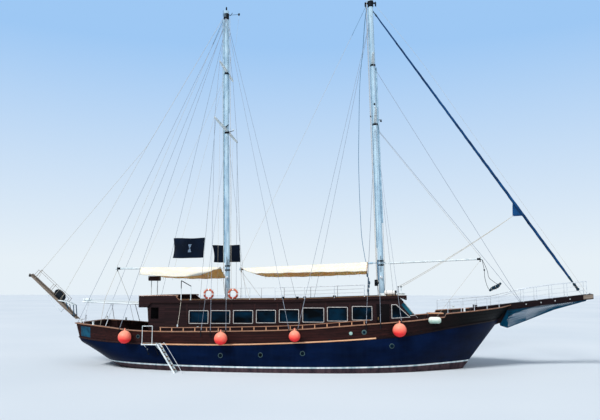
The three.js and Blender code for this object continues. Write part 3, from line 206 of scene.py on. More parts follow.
def vinyl(name, low, high):
    """Lighter towards its top: painted highlight from above"""
    look = Look(name, Coat_Weight=0.2, Coat_Roughness=0.25)
    blotch = look.noise(look.coords(), 3.0, 4)
    patches = look.math("MULTIPLY", look.math("SUBTRACT", blotch, 0.5), 0.3)
    height = look.math("ADD", look.axes("Generated")[2], patches)
    # Painted highlight: the bottom takes the low colour and the top the high one
    tint = look.ramp(height, (0.25, low), (0.9, high))
    grain = look.bump(look.noise(look.coords(), 60), 0.05, 0.002)
    return look.wire(Base_Color=tint, Roughness=look.spread(blotch, 0.35, 0.55), Normal=grain)


def hull_look():
    """Navy topsides over a white line and dark bottom paint, with the plank seams just showing"""
    look = Look("hull_paint", Specular_IOR_Level=0.03, Coat_Weight=0.012, Coat_Roughness=0.15)
    along, _, z = look.axes()
    from_middle = look.math("ADD", along, 2.0)
    rise = look.math("MULTIPLY", look.math("MULTIPLY", from_middle, from_middle), 0.00125)
    height = look.math("SUBTRACT", z, rise)
    broad = look.noise(look.coords(scale=(0.3, 0.6, 1)), 1.4, 5)
    streak = look.noise(look.coords(scale=(2.2, 1, 0.25)), 2.0, 5)
    navy = look.ramp(broad, (0.3, (0, 6, 26)), (0.7, (3, 20, 52)))
    navy = look.mix(look.spread(streak, 0.0, 0.25), navy, (10, 28, 54))
    line = look.ramp(streak, (0.3, (150, 176, 184)), (0.6, (226, 234, 236)))
    bottom = look.ramp(streak, (0.3, (40, 34, 42)), (0.7, (84, 66, 70)))
    over = look.math("GREATER_THAN", height, 0.36)
    at_line = look.math("GREATER_THAN", height, 0.27)
    colour = look.mix(over, look.mix(at_line, bottom, line), navy)
    planks = look.boards(look.coords("UV"), 5.5, 0.19, 0.005, 0.6)
    seams = look.bump(look.math("SUBTRACT", 1.0, planks["Fac"]), 0.3, 0.003)
    matt_below = look.math("MULTIPLY", look.math("SUBTRACT", 1.0, over), 0.3)
    rough = look.math("ADD", look.spread(streak, 0.32, 0.48), matt_below)
    return look.wire(Base_Color=colour, Roughness=rough, Normal=look.bump(broad, 0.3, 0.03, seams))


def glass_look(name, colour, shade):
    look = Look(name, Specular_IOR_Level=0.04, Coat_Weight=0.02, Coat_Roughness=0.05)
    cloudy = look.noise(look.coords(scale=(0.8, 1, 1.3)), 1.1, 2)
    tint = look.ramp(cloudy, (0.35, shade), (0.7, colour))
    return look.wire(Base_Color=tint, Roughness=look.spread(look.noise(look.coords(), 7, 4), 0.12, 0.2))


HULL = hull_look()
ANTIFOUL = paint("antifoul", (40, 26, 34), (22, 16, 24), (0.7, 0.85))
TEAK = wood("teak_deck", (176, 140, 104), (122, 92, 66), (0.6, 0.75), grain=(0.6, 20, 20),
            board=("y", 0.085, 3.2), seam=(28, 24, 22), worn=(150, 128, 104))
# The planking darkens towards the bow: painted shade
PLANKING = wood("mahogany_planking", (66, 32, 29), (20, 11, 12), (0.4, 0.55), 0.02, board=("v", 0.165, 4.2),
                seam=(8, 4, 6), worn=(30, 20, 22), ahead=(3.0, 10.0, (2, 6, 7)))
MAHOGANY = wood("mahogany", (56, 34, 34), (24, 16, 20), (0.3, 0.45), 0.06, board=("z", 0.13, 2.7),
                seam=(12, 8, 8), worn=(36, 26, 28))
JOINERY = wood("mahogany_joinery", (60, 36, 34), (26, 16, 18), (0.3, 0.45), 0.06, worn=(38, 26, 28))
WEATHERED = wood("weathered_wood", (146, 132, 118), (86, 76, 68), (0.5, 0.7), worn=(112, 102, 94))
VARNISH = wood("varnish", (172, 128, 102), (116, 78, 58), (0.25, 0.4), 0.15, worn=(146, 116, 98))
# Pale varnish: its pink-white tone is painted highlight
WALE = wood("wale_varnish", (250, 206, 166), (196, 132, 92), (0.25, 0.45), 0.15, worn=(160, 104, 76))
# Near-black wood; on the wale forward of amidships it is painted shade
DARK_WALE = wood("wale_dark", (34, 20, 22), (14, 9, 13), (0.35, 0.5), 0.04)
DARK_JOINERY = wood("dark_joinery", (18, 14, 16), (8, 6, 8), (0.4, 0.55), worn=(12, 10, 12))
# White spar paint given the blue-grey of shade under the sky: painted shade
SPAR_SHADE_TINT = paint("spar_white", (180, 206, 220), (146, 176, 196), (0.25, 0.45), 0.15, stretch=(1, 1, 0.3))
WHITE = paint("white_paint", (226, 232, 232), (184, 198, 202), (0.35, 0.55), 0.1)
FRAME_WHITE = paint("frame_white", (206, 204, 200), (176, 174, 172), (0.35, 0.5), 0.1, scale=6)
BLACK_PAINT = paint("black_metal", (22, 28, 34), (10, 14, 20), (0.35, 0.6))
STEEL = paint("steel", (226, 232, 236), (188, 196, 204), (0.3, 0.45), metal=0.4, scale=9)
WIRE = paint("wire", (154, 162, 174), (118, 128, 140), (0.4, 0.55), scale=40, stretch=(1, 1, 3))
BRONZE = paint("bronze", (190, 146, 84), (120, 96, 64), (0.3, 0.5), metal=1.0, scale=12)
AWNING = cloth("awning_cream", (255, 248, 230), (244, 232, 206), through=0.3)
# A darker tan for the rows at the awning's forward end: painted shade of the cloth's inside
HEM_SHADE_TINT = cloth("awning_hem_painted_shade", (206, 160, 112), (180, 132, 88))
# The underside: a tan tint for sunlight through the cloth, painted glow on top of its real translucency
UNDER_GLOW_TINT = cloth("awning_under_painted_glow", (250, 206, 146), (236, 180, 116), through=0.8)
WHITE_CLOTH = cloth("awning_white", (232, 238, 238), (206, 218, 222))
BLUE_SAIL = cloth("sail_blue", (18, 68, 116), (4, 32, 64), 120)
DARK_SAIL = cloth("sail_dark", (24, 56, 74), (6, 20, 32), 120)
BLACK_CLOTH = cloth("flag_black", (3, 16, 34), (1, 8, 20), 220)
MARK_CLOTH = cloth("flag_mark", (120, 138, 156), (84, 104, 126), 220)
NET = rope("net_cord", (6, 84, 114), (2, 48, 74))
ROPE = rope("rope", (206, 200, 186), (150, 142, 128))
DARK_ROPE = rope("rope_dark", (46, 52, 58), (18, 22, 28))
GLASS = glass_look("dark_glass", (3, 36, 56), (1, 5, 10))
SCREEN = glass_look("screen_glass", (32, 92, 108), (14, 60, 78))
CORAL = vinyl("coral_vinyl", (238, 48, 50), (255, 160, 132))
WHITE_VINYL = vinyl("white_vinyl", (156, 186, 172), (242, 244, 232))
ORANGE = vinyl("orange_cover", (150, 58, 40), (200, 108, 80))
RUBBER = paint("rubber", (26, 34, 42), (10, 14, 20), (0.6, 0.8), scale=20)
TEAL = paint("teal_paint", (16, 76, 100), (8, 46, 66), (0.35, 0.5), 0.1)
GREY_GREEN = paint("grey_green_paint", (74, 96, 96), (48, 66, 70), (0.4, 0.55))
MINT = paint("mint_paint", (150, 180, 172), (110, 140, 134), (0.4, 0.55))
# Blue-grey, darker than the spar, for the track and the conduit: painted shade
TRACK_SHADE = paint("sail_track_shade", (164, 192, 208), (128, 160, 180), (0.35, 0.5))
# Blue-grey rope: the blue of shade under the sky, painted shade
ROPE_SHADE_BLUE = rope("rope_blue_shade", (110, 144, 168), (60, 92, 118))
CORK = vinyl("buoy_white", (206, 204, 200), (248, 244, 238))
SPEAKER_CLOTH = cloth("speaker_cloth", (28, 36, 46), (14, 20, 28), 300)

# Looks of the CAD nodes that stay as they are. A name that ends in _ stands for both sides
NODE_LOOKS = [
    (ANTIFOUL, "keel rudder"), (BRONZE, "propeller"), (TEAK, "deck"), (DARK_WALE, "bow_platform"),
    (JOINERY, "hatch_coaming deckhouse_front helm_console roof_box"), (DARK_JOINERY, "side_door_"),
    (MAHOGANY, "deckhouse_side_ deckhouse_aft_wall deckhouse_roof"), (SPAR_SHADE_TINT, "foremast mainmast fore_boom"),
    (WHITE, "main_boom derrick_boom boarding_platform boarding_ladder"), (VARNISH, "helm_wheel"),
    (WIRE, "staysail_stay fore_shroud_ main_shroud_ fore_runner_ main_runner_"), (GLASS, "side_glass_"),
    (SCREEN, "windscreen_glass"), (WALE, "hatch_lid"), (STEEL, "stern_awning_frame"), (WEATHERED,
            "passerelle"),
]
for material, node_names in NODE_LOOKS:
    for node_name in node_names.split():
        for ending in SIDES if node_name.endswith("_") else [""]:
            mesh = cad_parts[node_name + ending].data
            mesh.materials.clear()
            mesh.materials.append(material)


# Shapes: each function gives vertices and faces

def skin(rings, ends=True):
    """Faces from each ring of points to the next. ends: the first and the last ring are closed"""
    n = len(rings[0])
    verts = [tuple(p) for ring in rings for p in ring]
    faces = []
    for i in range(len(rings) - 1):
        for k in range(n):
            a, b = i * n + k, i * n + (k + 1) % n
            faces.append((a, b, b + n, a + n))
    if ends:
        faces.append(tuple(range(n)))
        faces.append(tuple(range((len(rings) - 1) * n, len(rings) * n)))
    return verts, faces


def turns(n):
    """n angles once round"""
    return [2 * math.pi * k / n for k in range(n)]


def span(a, b, n):
    """n even steps from a to b"""
    return [a + (b - a) * k / n for k in range(n + 1)]


def hoop(centre, a, b, n):
    """n points round the centre; a and b are the half axes"""
    return [tuple(c + p * math.cos(t) + q * math.sin(t) for c, p, q in zip(centre, a, b)) for t in turns(n)]


def tube(points, r, sides=8, closed=False):
    """A round bar through the points; r is one radius or one for each point"""
    at = [Vector(p) for p in points]
    radii = r if isinstance(r, list) else [r] * len(at)
    rings = []
    side = None
    for i, p in enumerate(at):
        before = at[i - 1] if i or closed else at[0]
        after = at[(i + 1) % len(at)] if i < len(at) - 1 or closed else at[-1]
        along = (after - before).normalized()
        if side is None:
            side = along.orthogonal().normalized()
        side = (side - along * side.dot(along)).normalized()
        up = along.cross(side)
        rings.append([p + (side * math.cos(t) + up * math.sin(t)) * radii[i] for t in turns(sides)])
    if closed:
        rings.append(rings[0])
    return skin(rings, ends=not closed)


def lathe(a, b, profile, sides=16):
    """Turned about the line from a to b. profile: (share of the length, radius)"""
    a, b = Vector(a), Vector(b)
    along = (b - a).normalized()
    side = along.orthogonal().normalized()
    up = along.cross(side)
    return skin([[a + (b - a) * share + (side * math.cos(t) + up * math.sin(t)) * max(r, 0.0005)
                  for t in turns(sides)] for share, r in profile])


def post(x, y, z0, z1, profile, sides=16):
    return lathe((x, y, z0), (x, y, z1), profile, sides)


def pin(x, y0, y1, z, profile, sides=16):
    return lathe((x, y0, z), (x, y1, z), profile, sides)


def disc(r):
    return [(0, r), (1, r)]


def block(x0, x1, y0, y1, z0, z1):
    return skin([[(x, y0, z0), (x, y1, z0), (x, y1, z1), (x, y0, z1)] for x in (x0, x1)])


def swept(xs, section):
    """A bar along x. section(x) gives its corners in y and z"""
    return skin([[(x, y, z) for y, z in section(x)] for x in xs])


def slab(corners, rise):
    return skin([corners, [c + rise for c in corners]])


def catmull(a, b, c, d, s):
    """The smooth value or point between b and c, s from 0 to 1"""
    return 0.5 * (2 * b + (c - a) * s + (2 * a - 5 * b + 4 * c - d) * s * s
                  + (3 * b - a - 3 * c + d) * s ** 3)


def curve_through(points, steps=6):
    """A smooth line through the points"""
    at = [Vector(p) for p in points]
    made = []
    for i in range(len(at) - 1):
        near = at[max(i - 1, 0)], at[i], at[i + 1], at[min(i + 2, len(at) - 1)]
        made += [catmull(*near, k / steps) for k in range(steps)]
    return made + [at[-1]]


def sagging(a, b, sag, steps=12):
    a, b = Vector(a), Vector(b)
    return [a + (b - a) * (i / steps) - Vector((0, 0, 4 * sag * (i / steps) * (1 - i / steps)))
            for i in range(steps + 1)]


def both(parts):
    """The parts and their mirror images to port"""
    mirrored = [([(x, -y, z) for x, y, z in verts], [f[::-1] for f in faces], *look)
                for verts, faces, *look in parts]
    return parts + mirrored


class Parts(list):
    """The shapes of one piece, each with the index of its look"""

    def add(self, shape, look=0):
        self.append((*shape, look))


def new_object(name, verts, faces, looks, slots=None, angle=None, uvs=None, outward=False):
    """angle: edges above it are sharp. outward: every face is turned to the outside"""
    mesh = bpy.data.meshes.new(name)
    mesh.from_pydata([tuple(v) for v in verts], [], faces)
    if slots:
        mesh.polygons.foreach_set("material_index", slots)
    for material in looks:
        mesh.materials.append(material)
    if uvs:
        layer = mesh.uv_layers.new(name="uv")
        for loop in mesh.loops:
            layer.data[loop.index].uv = uvs[loop.vertex_index]
    if outward:
        work = bmesh.new()
        work.from_mesh(mesh)
        bmesh.ops.recalc_face_normals(work, faces=work.faces)
        work.to_mesh(mesh)
        work.free()
    mesh.shade_smooth()
    if angle:
        mesh.set_sharp_from_angle(angle=math.radians(angle))
    made = bpy.data.objects.new(name, mesh)
    bpy.context.collection.objects.link(made)
    return made


def mount(made, body, replaces):
    if replaces:
        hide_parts(*replaces)
    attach(made, body)


def piece(name, parts, looks, body="boat", replaces=(), bevel=0.0, angle=38, uvs=None):
    """One object of parts: vertices, faces, index of the look"""
    verts, faces, slots = [], [], []
    for part_verts, part_faces, *look in parts:
        faces += [tuple(len(verts) + i for i in face) for face in part_faces]
        verts += part_verts
        slots += (look or [0]) * len(part_faces)
    made = new_object(name, verts, faces, looks, slots, angle, uvs, outward=True)
    if bevel:
        edge = made.modifiers.new("edges", "BEVEL")
        edge.width = bevel
        edge.segments = 2
        edge.limit_method = "ANGLE"
        edge.angle_limit = math.radians(40)
    mount(made, body, replaces)
    return made


# Hull lines, as in the CAD part. Columns: x at deck level, lean, z of the rabbet, half breadth at the deck
# edge, z of the deck edge, fullness, z of the bulwark's top, half breadth there
STATIONS = [
    [-13.55, -0.277, 1.06, 2.15, 1.78, 2, 2.68, 2.2],
    [-12.8, -0.178, 0.56, 2.5, 1.71, 2.2, 2.62, 2.56],
    [-12.0, -0.091, 0.04, 2.78, 1.65, 2.4, 2.55, 2.84],
    [-11.2, 0, -0.34, 2.98, 1.605, 2.6, 2.47, 3.04],
    [-9.8, 0, -0.78, 3.22, 1.55, 2.8, 2.33, 3.28],
    [-7.5, 0, -1.3, 3.42, 1.51, 3.1, 2.29, 3.48],
    [-4.0, 0, -1.7, 3.56, 1.53, 3.5, 2.34, 3.62],
    [0, 0, -1.85, 3.6, 1.67, 3.6, 2.46, 3.66],
    [3.5, 0, -1.85, 3.5, 1.87, 3.0, 2.72, 3.57],
    [6.5, 0.1, -1.75, 3.15, 2.13, 2.2, 2.96, 3.24],
    [8.6, 0.3, -1.6, 2.62, 2.46, 1.6, 3.19, 2.75],
    [10.4, 0.5, -1.45, 1.85, 2.72, 1.2, 3.36, 2.06],
    [11.6, 0.68, -1.3, 0.98, 2.86, 1.1, 3.5, 1.27],
    [12.25, 0.766, -1.2, 0.17, 2.93, 1.0, 3.62, 0.48],
]
STEP_X, STEP_RISE = 8.5, 0.19
KEEL_HALF = 0.11
BULWARK_THICK = 0.11
CAP_THICK, CAP_OUT, CAP_IN = 0.06, 0.07, 0.06


class Row:
    """The hull's values at one x"""

    def __init__(self, x):
        i = max([k for k in range(len(STATIONS) - 1) if STATIONS[k][0] <= x], default=0)
        a, b = STATIONS[i], STATIONS[i + 1]
        before, after = STATIONS[max(i - 1, 0)], STATIONS[min(i + 2, len(STATIONS) - 1)]
        s = (x - a[0]) / (b[0] - a[0])
        value = []
        for k in range(8):
            slope_a = (b[k] - before[k]) / (b[0] - before[0]) * (b[0] - a[0])
            slope_b = (after[k] - a[k]) / (after[0] - a[0]) * (b[0] - a[0])
            cubic = (2 * s ** 3 - 3 * s ** 2 + 1) * a[k] + (3 * s ** 2 - 2 * s ** 3) * b[k]
            value.append(cubic + (s ** 3 - 2 * s ** 2 + s) * slope_a + (s ** 3 - s ** 2) * slope_b)
        _, self.lean, self.rabbet, self.half, self.deck, self.full, self.rail, self.rail_half = value
        self.x = x
        self.rail += STEP_RISE * min(max((x - STEP_X + 0.02) / 0.04, 0), 1)
        self.top_x = x + self.lean * (self.rail - self.deck)


def along_hull(step):
    count = round((STATIONS[-1][0] - STATIONS[0][0]) / step)
    xs = [STATIONS[0][0] + (STATIONS[-1][0] - STATIONS[0][0]) * i / count for i in range(count + 1)]
    return [Row(x) for x in sorted(xs + [STEP_X - 0.02, STEP_X + 0.02])]


ROWS = along_hull(0.25)


def cap_at(x):
    """Half breadth and z of the rail cap's top where its own x is this"""
    i = max([k for k in range(len(ROWS) - 1) if ROWS[k].top_x <= x], default=0)
    a, b = ROWS[i], ROWS[i + 1]
    s = (x - a.top_x) / (b.top_x - a.top_x)
    return a.rail_half + (b.rail_half - a.rail_half) * s, a.rail + (b.rail - a.rail) * s + CAP_THICK


def deck_top(x):
    return Row(min(max(x, -13.5), 12.2)).deck + 0.05


ROOF_LINE = [(-9.74, 4.11), (-7, 4.13), (0, 4.2), (6.58, 4.44)]


def roof_top(x):
    i = max([k for k in range(len(ROOF_LINE) - 1) if ROOF_LINE[k][0] <= x], default=0)
    (xa, za), (xb, zb) = ROOF_LINE[i], ROOF_LINE[i + 1]
    return za + (zb - za) * (x - xa) / (xb - xa)


# The bow platform's after end and its length
PLATFORM_X, PLATFORM_LONG = 10.6, 7.26


def beam_top(x):
    return 3.64 + (4.52 - 3.64) * (x - PLATFORM_X) / PLATFORM_LONG


def beam_half(x):
    return 0.42 - 0.1 * (x - PLATFORM_X) / PLATFORM_LONG


FOREMAST = {"x": 5.303, "rake": -0.0239, "top": 24.3, "foot": 0.19, "head": 0.15}
MAINMAST = {"x": -4.634, "rake": -0.0185, "top": 23.65, "foot": 0.17, "head": 0.125}
FORE_SPREADERS = [(19.6, 1.9), (15.6, 3.2)]
MAIN_SPREADERS = [(19.4, 2.0), (15.3, 3.4)]


def mast_x(mast, z):
    return mast["x"] + mast["rake"] * z


def mast_r(mast, z):
    return mast["foot"] + (mast["head"] - mast["foot"]) * z / mast["top"]


# Hull

def hull_skin():
    steps = 26
    rings, uvs = [], []
    for row in ROWS:
        side = []
        girth = [0.0]
        for i in range(steps + 1):
            t = (i / steps) ** 1.5
            z = row.rabbet + (row.deck - row.rabbet) * t
            y = KEEL_HALF + (row.half - KEEL_HALF) * (1 - (1 - t) ** row.full)
            side.append((row.x + row.lean * (z - row.deck), y, z))
        for p, q in zip(side, side[1:]):
            girth.append(girth[-1] + math.dist(p, q))
        line = [(row.x, g - girth[-1]) for g in girth]
        rings.append([(x, -y, z) for x, y, z in reversed(side)] + side)
        uvs += list(reversed(line)) + line
    verts, faces = skin(rings)
    piece("hull_skin", [(verts, faces)], [HULL], replaces=["hull"], angle=50, uvs=uvs)


def wall_frames(step=0.25):
    """Frames from the bow down the starboard side, round the stern and back up to port"""
    side = [((r.x, -r.half, r.deck), (r.top_x, -r.rail_half, r.rail), (0, 1))
            for r in reversed(along_hull(step))]
    base, top, _ = side[-1]
    side[-1] = (base, top, (1, 1))
    other = [((b[0], -b[1], b[2]), (t[0], -t[1], t[2]), (i[0], -i[1])) for b, t, i in reversed(side)]
    return side + other


def strake(frames, section):
    """A strake along the frames. section(high) gives (inset, height) points for a wall of that height"""
    rings, uvs = [], []
    run = 0.0
    last = None
    for base, top, inward in frames:
        high = top[2] - base[2]
        ring = []
        for inset, up in section(high):
            s = up / high
            ring.append((base[0] + (top[0] - base[0]) * s + inward[0] * inset,
                         base[1] + (top[1] - base[1]) * s + inward[1] * inset, base[2] + up))
            uvs.append((run, up))
        if last:
            run += math.dist(last, base)
        last = base
        rings.append(ring)
    verts, faces = skin(rings)
    return verts, faces, uvs


def bulwark():
    boards = 4

    def section(high):
        outer = [(0.0, 0.0003)]
        for k in range(1, boards):
            z = high * k / boards
            outer += [(0.0, z - 0.009), (0.008, z), (0.0, z + 0.009)]
        outer.append((0.0, high + 0.004))
        return outer + [(BULWARK_THICK, high + 0.004), (BULWARK_THICK, 0.0003)]

    verts, faces, uvs = strake(wall_frames(), section)
    piece("bulwark_planks", [(verts, faces)], [PLANKING], replaces=["bulwark"], angle=30,
          uvs=uvs)
    # The rubbing strake is painted pale amidships as a highlight, and near-black forward of it as shade
    rounded = [(-0.001, 0.03), (-0.03, 0.034), (-0.044, 0.05), (-0.044, 0.09), (-0.03, 0.106),
               (-0.001, 0.11)]
    frames = wall_frames()
    bright = [f for f in frames if -9.2 < f[0][0] < 4.8]
    for name, side in SIDES.items():
        part = strake([f for f in bright if f[0][1] * side > 0], lambda high: rounded)
        piece("wale_highlight_" + name, [part[:2]], [WALE])
        ahead = strake([f for f in frames if f[0][0] > 4.6 and f[0][1] * side > 0], lambda high: rounded)
        piece("wale_fore_shade_" + name, [ahead[:2]], [DARK_WALE])
    aft = strake([f for f in frames if f[0][0] < -9.0], lambda high: rounded)
    piece("wale_aft", [aft[:2]], [JOINERY])


def rail_cap():
    out, inside, t = -CAP_OUT, BULWARK_THICK + CAP_IN, CAP_THICK

    def section(high):
        return [(out + 0.012, high), (out, high + t * 0.3), (out, high + t * 0.7), (out + 0.015, high + t),
                (inside - 0.015, high + t), (inside, high + t * 0.7), (inside, high + t * 0.3),
                (inside - 0.012, high)]

    verts, faces, _ = strake(wall_frames(), section)
    parts = Parts([(verts, faces, 0)])
    for x, y in ((-12.5, 2.65), (9.9, 2.34)):
        z = cap_at(x)[1]
        for side in SIDES.values():
            profile = [(0, 0.085), (0.06, 0.085), (0.14, 0.058), (0.62, 0.05), (0.74, 0.074), (0.86, 0.08),
                       (0.96, 0.06), (1, 0.0)]
            parts.add(post(x, side * y, z - 0.004, z + 0.19, profile), 1)
    for side in SIDES.values():
        y = -1.5 + side * 0.2205
        parts.add(block(-14.06, -13.74, y - 0.01, y + 0.01, 2.86, 2.94), 2)
    piece("rail_cap_wood", parts, [VARNISH, WHITE, STEEL], replaces=["rail_cap"],
          bevel=0.004)


def stanchions():
    parts = Parts()
    x = -12.9
    while x < 11.2:
        row = Row(x)
        s = 0.75
        y0 = row.half + (row.rail_half - row.half) * 0.1 - BULWARK_THICK
        y1 = row.half + (row.rail_half - row.half) * s - BULWARK_THICK
        z0, z1 = row.deck + 0.052, row.rail - 0.002
        ring0 = [(x - 0.035, y0 - 0.07, z0), (x + 0.035, y0 - 0.07, z0), (x + 0.035, y0 + 0.004, z0),
                 (x - 0.035, y0 + 0.004, z0)]
        shift = row.lean * (z1 - z0)
        ring1 = [(px + shift, py + (y1 - y0) + 0.01, z1) for px, py, _ in ring0]
        parts.add(skin([ring0, ring1]))
        x += 0.72
    piece("bulwark_stanchions", both(parts), [JOINERY], bevel=0.006)


# The side rail stands this far in from the cap's outer edge
RAIL_IN = 0.0775


def side_rails():
    """A low balustrade on the cap: turned balusters under a rounded handrail"""
    x0, x1 = -8.05, 4.4
    section = [(0.047, -0.012), (0.035, 0.0), (-0.035, 0.0), (-0.047, -0.012), (-0.047, -0.032),
               (-0.035, -0.045), (0.035, -0.045), (0.047, -0.032)]
    baluster = [(0, 0.034), (0.1, 0.034), (0.16, 0.02), (0.45, 0.029), (0.75, 0.019), (0.86, 0.03),
                (1, 0.03)]
    for name, side in SIDES.items():

        def handrail(x):
            half, z = cap_at(x)
            return [(side * (half - RAIL_IN + a), z + 0.23 + b) for a, b in section]

        parts = Parts([swept(span(x0, x1, 40), handrail)])
        x = x0 + 0.05
        while x < x1:
            half, z = cap_at(x)
            parts.add(post(x, side * (half - RAIL_IN), z + 0.001, z + 0.19, baluster, 12), 1)
            x += 0.71
        piece("balustrade_" + name, parts, [VARNISH, WALE], replaces=["side_rail_" + name])


# Bow

def bow_rail():
    posts = [(8.9, 0.62), (9.7, 0.62), (10.5, 0.62), (11.3, 0.62), (12.1, 0.62), (13.75, 0.8), (14.55, 0.83),
             (15.45, 0.85), (16.35, 0.83), (17.5, 0.8)]

    def foot(x, side):
        if x > 12.6:
            return Vector((x, side * (beam_half(x) - 0.045), beam_top(x)))
        half, z = cap_at(x)
        return Vector((x, side * (half - 0.04), z))

    parts = Parts()
    for side in SIDES.values():
        tops = [foot(x, side) + UP * high for x, high in posts]
        parts.add(tube(tops, 0.02, 10))
        for share in (0.34, 0.67):
            parts.add(tube([foot(x, side) + UP * (high * share) for x, high in posts], 0.006, 6))
        for x, high in posts:
            base = foot(x, side)
            profile = [(0, 0.034), (0.02, 0.034), (0.03, 0.018), (0.98, 0.016), (1, 0.016)]
            parts.add(lathe(base, base + UP * high, profile, 10))
    x, high = posts[-1]
    parts.add(tube([foot(x, -1) + UP * high, foot(x, 1) + UP * high], 0.02, 10))
    piece("bow_rail_tubes", parts, [STEEL], replaces=["bow_rail"])


def bow_net():
    """A knotted net slung under the platform between two ropes"""
    rows = [(12.38, 0.11, 2.73, 2.59), (12.8, 0.33, None, 2.45), (13.9, 0.35, None, 2.88),
            (15.6, 0.33, None, 3.56), (17.45, 0.315, None, 4.08)]
    table = []
    for x, half, edge, low in rows:
        deep = 0.36 - 0.06 * (x - PLATFORM_X) / PLATFORM_LONG
        table.append((x, half, edge if edge else beam_top(x) - deep - 0.003, low))

    def at(u, v):
        """u along the net from 0 to 1, v across it from -1 to 1"""
        place = u * (len(table) - 1)
        i = min(int(place), len(table) - 2)
        s = place - i
        x, half, edge, low = [p + (q - p) * s for p, q in zip(table[i], table[i + 1])]
        drop = low + (edge - low) * abs(v) ** 2.6
        return Vector((x, v * half * (1 - 0.02 * abs(v)), drop + 0.012))

    parts = Parts()
    cells, across = 60, 12
    for i in range(-across, cells):
        for lean in (1, -1):
            line = []
            for k in range(across + 1):
                u = (i + k) / cells
                if 0 <= u <= 1:
                    line.append(at(u, lean * (2 * k / across - 1)))
            if len(line) > 1:
                parts.add(tube(line, 0.014, 4))
    for v, r in ((-0.97, 0.014), (0.97, 0.014), (0, 0.016)):
        parts.add(tube([at(u, v) for u in span(0, 1, 40)], r, 6), 1)
    piece("bow_net_cords", parts, [NET, DARK_ROPE], replaces=["bow_net"])


def bow_fittings():
    parts = Parts()
    x, pitch, wide = 10.75, 0.118, 0.105
    while x < 17.7:
        z, half = beam_top(x), beam_half(x) - 0.012
        ring = [Vector((x, -half, z + 0.001)), Vector((x, half, z + 0.001)), Vector((x, half, z + 0.014)),
                Vector((x, -half, z + 0.014))]
        if not 10.78 < x + 0.05 < 11.02:
            parts.add(slab(ring, Vector((wide, 0, 0.88 / PLATFORM_LONG * wide))))
        x += pitch
    for side in SIDES.values():
        for px in (13.88, 14.77, 15.6, 16.48):
            y = side * (beam_half(px) + 0.001)
            parts.add(pin(px, y - side * 0.004, y + side * 0.03, beam_top(px) - 0.14,
                          [(0, 0.036), (0.4, 0.036), (1, 0.02)], 12), 1)

        # Boards along the platform's sides, lighter at the outer end
        def board(px):
            y, z = beam_half(px), beam_top(px)
            return [(side * (y + 0.0005), z - 0.25), (side * (y + 0.018), z - 0.245),
                    (side * (y + 0.018), z - 0.015), (side * (y + 0.0005), z - 0.01)]

        parts.add(swept(span(11.3, 17.25, 8), board))
        parts.add(swept(span(17.27, 17.84, 8), board), 2)
        # Caps and cross bars of the bitts
        z = beam_top(10.9) + 0.17
        parts.add(block(10.81, 10.99, side * 0.26 - 0.09, side * 0.26 + 0.09, z + 0.001, z + 0.03), 3)
        parts.add(tube([(10.9, side * 0.13, z - 0.06), (10.9, side * 0.39, z - 0.06)], 0.016, 10), 3)
    # Stem head roller
    parts.add(pin(17.8, -0.12, 0.12, 4.545, [(0, 0.045), (0.3, 0.03), (0.7, 0.03), (1, 0.045)], 16), 3)
    piece("platform_fittings", parts, [DARK_WALE, WHITE, WEATHERED, STEEL], bevel=0.003)


def windlass():
    z = deck_top(9.75)
    parts = Parts([block(9.5, 10.0, -0.22, 0.22, z + 0.001, z + 0.1)])
    drum = [(0, 0.12), (0.06, 0.12), (0.12, 0.08), (0.24, 0.075), (0.3, 0.13), (0.34, 0.15)]
    drum += [(1 - share, r) for share, r in reversed(drum)]
    parts.add(pin(9.75, -0.34, 0.34, z + 0.3, drum, 20), 1)
    for y in (-0.26, 0.26):
        parts.add(block(9.66, 9.84, y - 0.02, y + 0.02, z + 0.09, z + 0.38), 1)
    parts.add(post(9.58, 0, z + 0.1, z + 0.4, [(0, 0.1), (0.2, 0.1), (0.3, 0.07), (1, 0.05)], 14), 1)
    for k in range(14):
        link = (10.0 + 0.09 * k, 0.02 * math.sin(k), z + 0.21 - 0.013 * k)
        short = (0, 0, 0.028) if k % 2 else (0, 0.028, 0)
        parts.add(tube(hoop(link, (0.055, 0, 0), short, 10), 0.009, 6, True), 1)
    piece("anchor_windlass", parts, [JOINERY, BLACK_PAINT], bevel=0.008)


# Deckhouse

WINDOWS = [
    (-6.59, -5.37, 2.72, 3.52), (-5.23, -4.02, 2.73, 3.53), (-3.84, -2.61, 2.74, 3.545),
    (-2.43, -1.22, 2.78, 3.565), (-1.03, 0.18, 2.82, 3.61), (0.39, 1.69, 2.84, 3.71), (1.87, 3.1, 2.91, 3.76),
    (3.35, 4.55, 2.98, 3.81),
]


def rounded_outline(corners, r, steps=4):
    """The polygon with its corners rounded"""
    made = []
    n = len(corners)
    for i in range(n):
        p = Vector(corners[i])
        a, b = (Vector(corners[i - 1]) - p).normalized(), (Vector(corners[(i + 1) % n]) - p).normalized()
        for k in range(steps + 1):
            t = k / steps
            made.append(tuple(p + a * r * (1 - t) ** 2 + b * r * t ** 2))
    return made


def frame_bar(corners, y, wide, proud, r=0.06):
    """A moulded frame round an outline in x and z, standing out from y"""
    n = len(corners)
    inner_corners = []
    for i in range(n):
        p = Vector(corners[i])
        a, b = (Vector(corners[i - 1]) - p).normalized(), (Vector(corners[(i + 1) % n]) - p).normalized()
        inner_corners.append(tuple(p + (a + b).normalized() * (wide / math.sin(a.angle(b) / 2))))
    pairs = list(zip(rounded_outline(corners, r), rounded_outline(inner_corners, r * 0.6)))
    side = -1 if y < 0 else 1
    rings = []
    for share, out in ((0, 0.0), (0.0, 0.7), (0.2, 1.0), (0.8, 1.0), (1.0, 0.6), (1.0, 0.0)):
        rings.append([(p[0] + (q[0] - p[0]) * share, y + side * proud * out, p[1] + (q[1] - p[1]) * share)
                      for p, q in pairs])
    return skin(rings + rings[:1], ends=False)


def box_outline(x0, x1, z0, z1):
    return [(x0, z0), (x1, z0), (x1, z1), (x0, z1)]


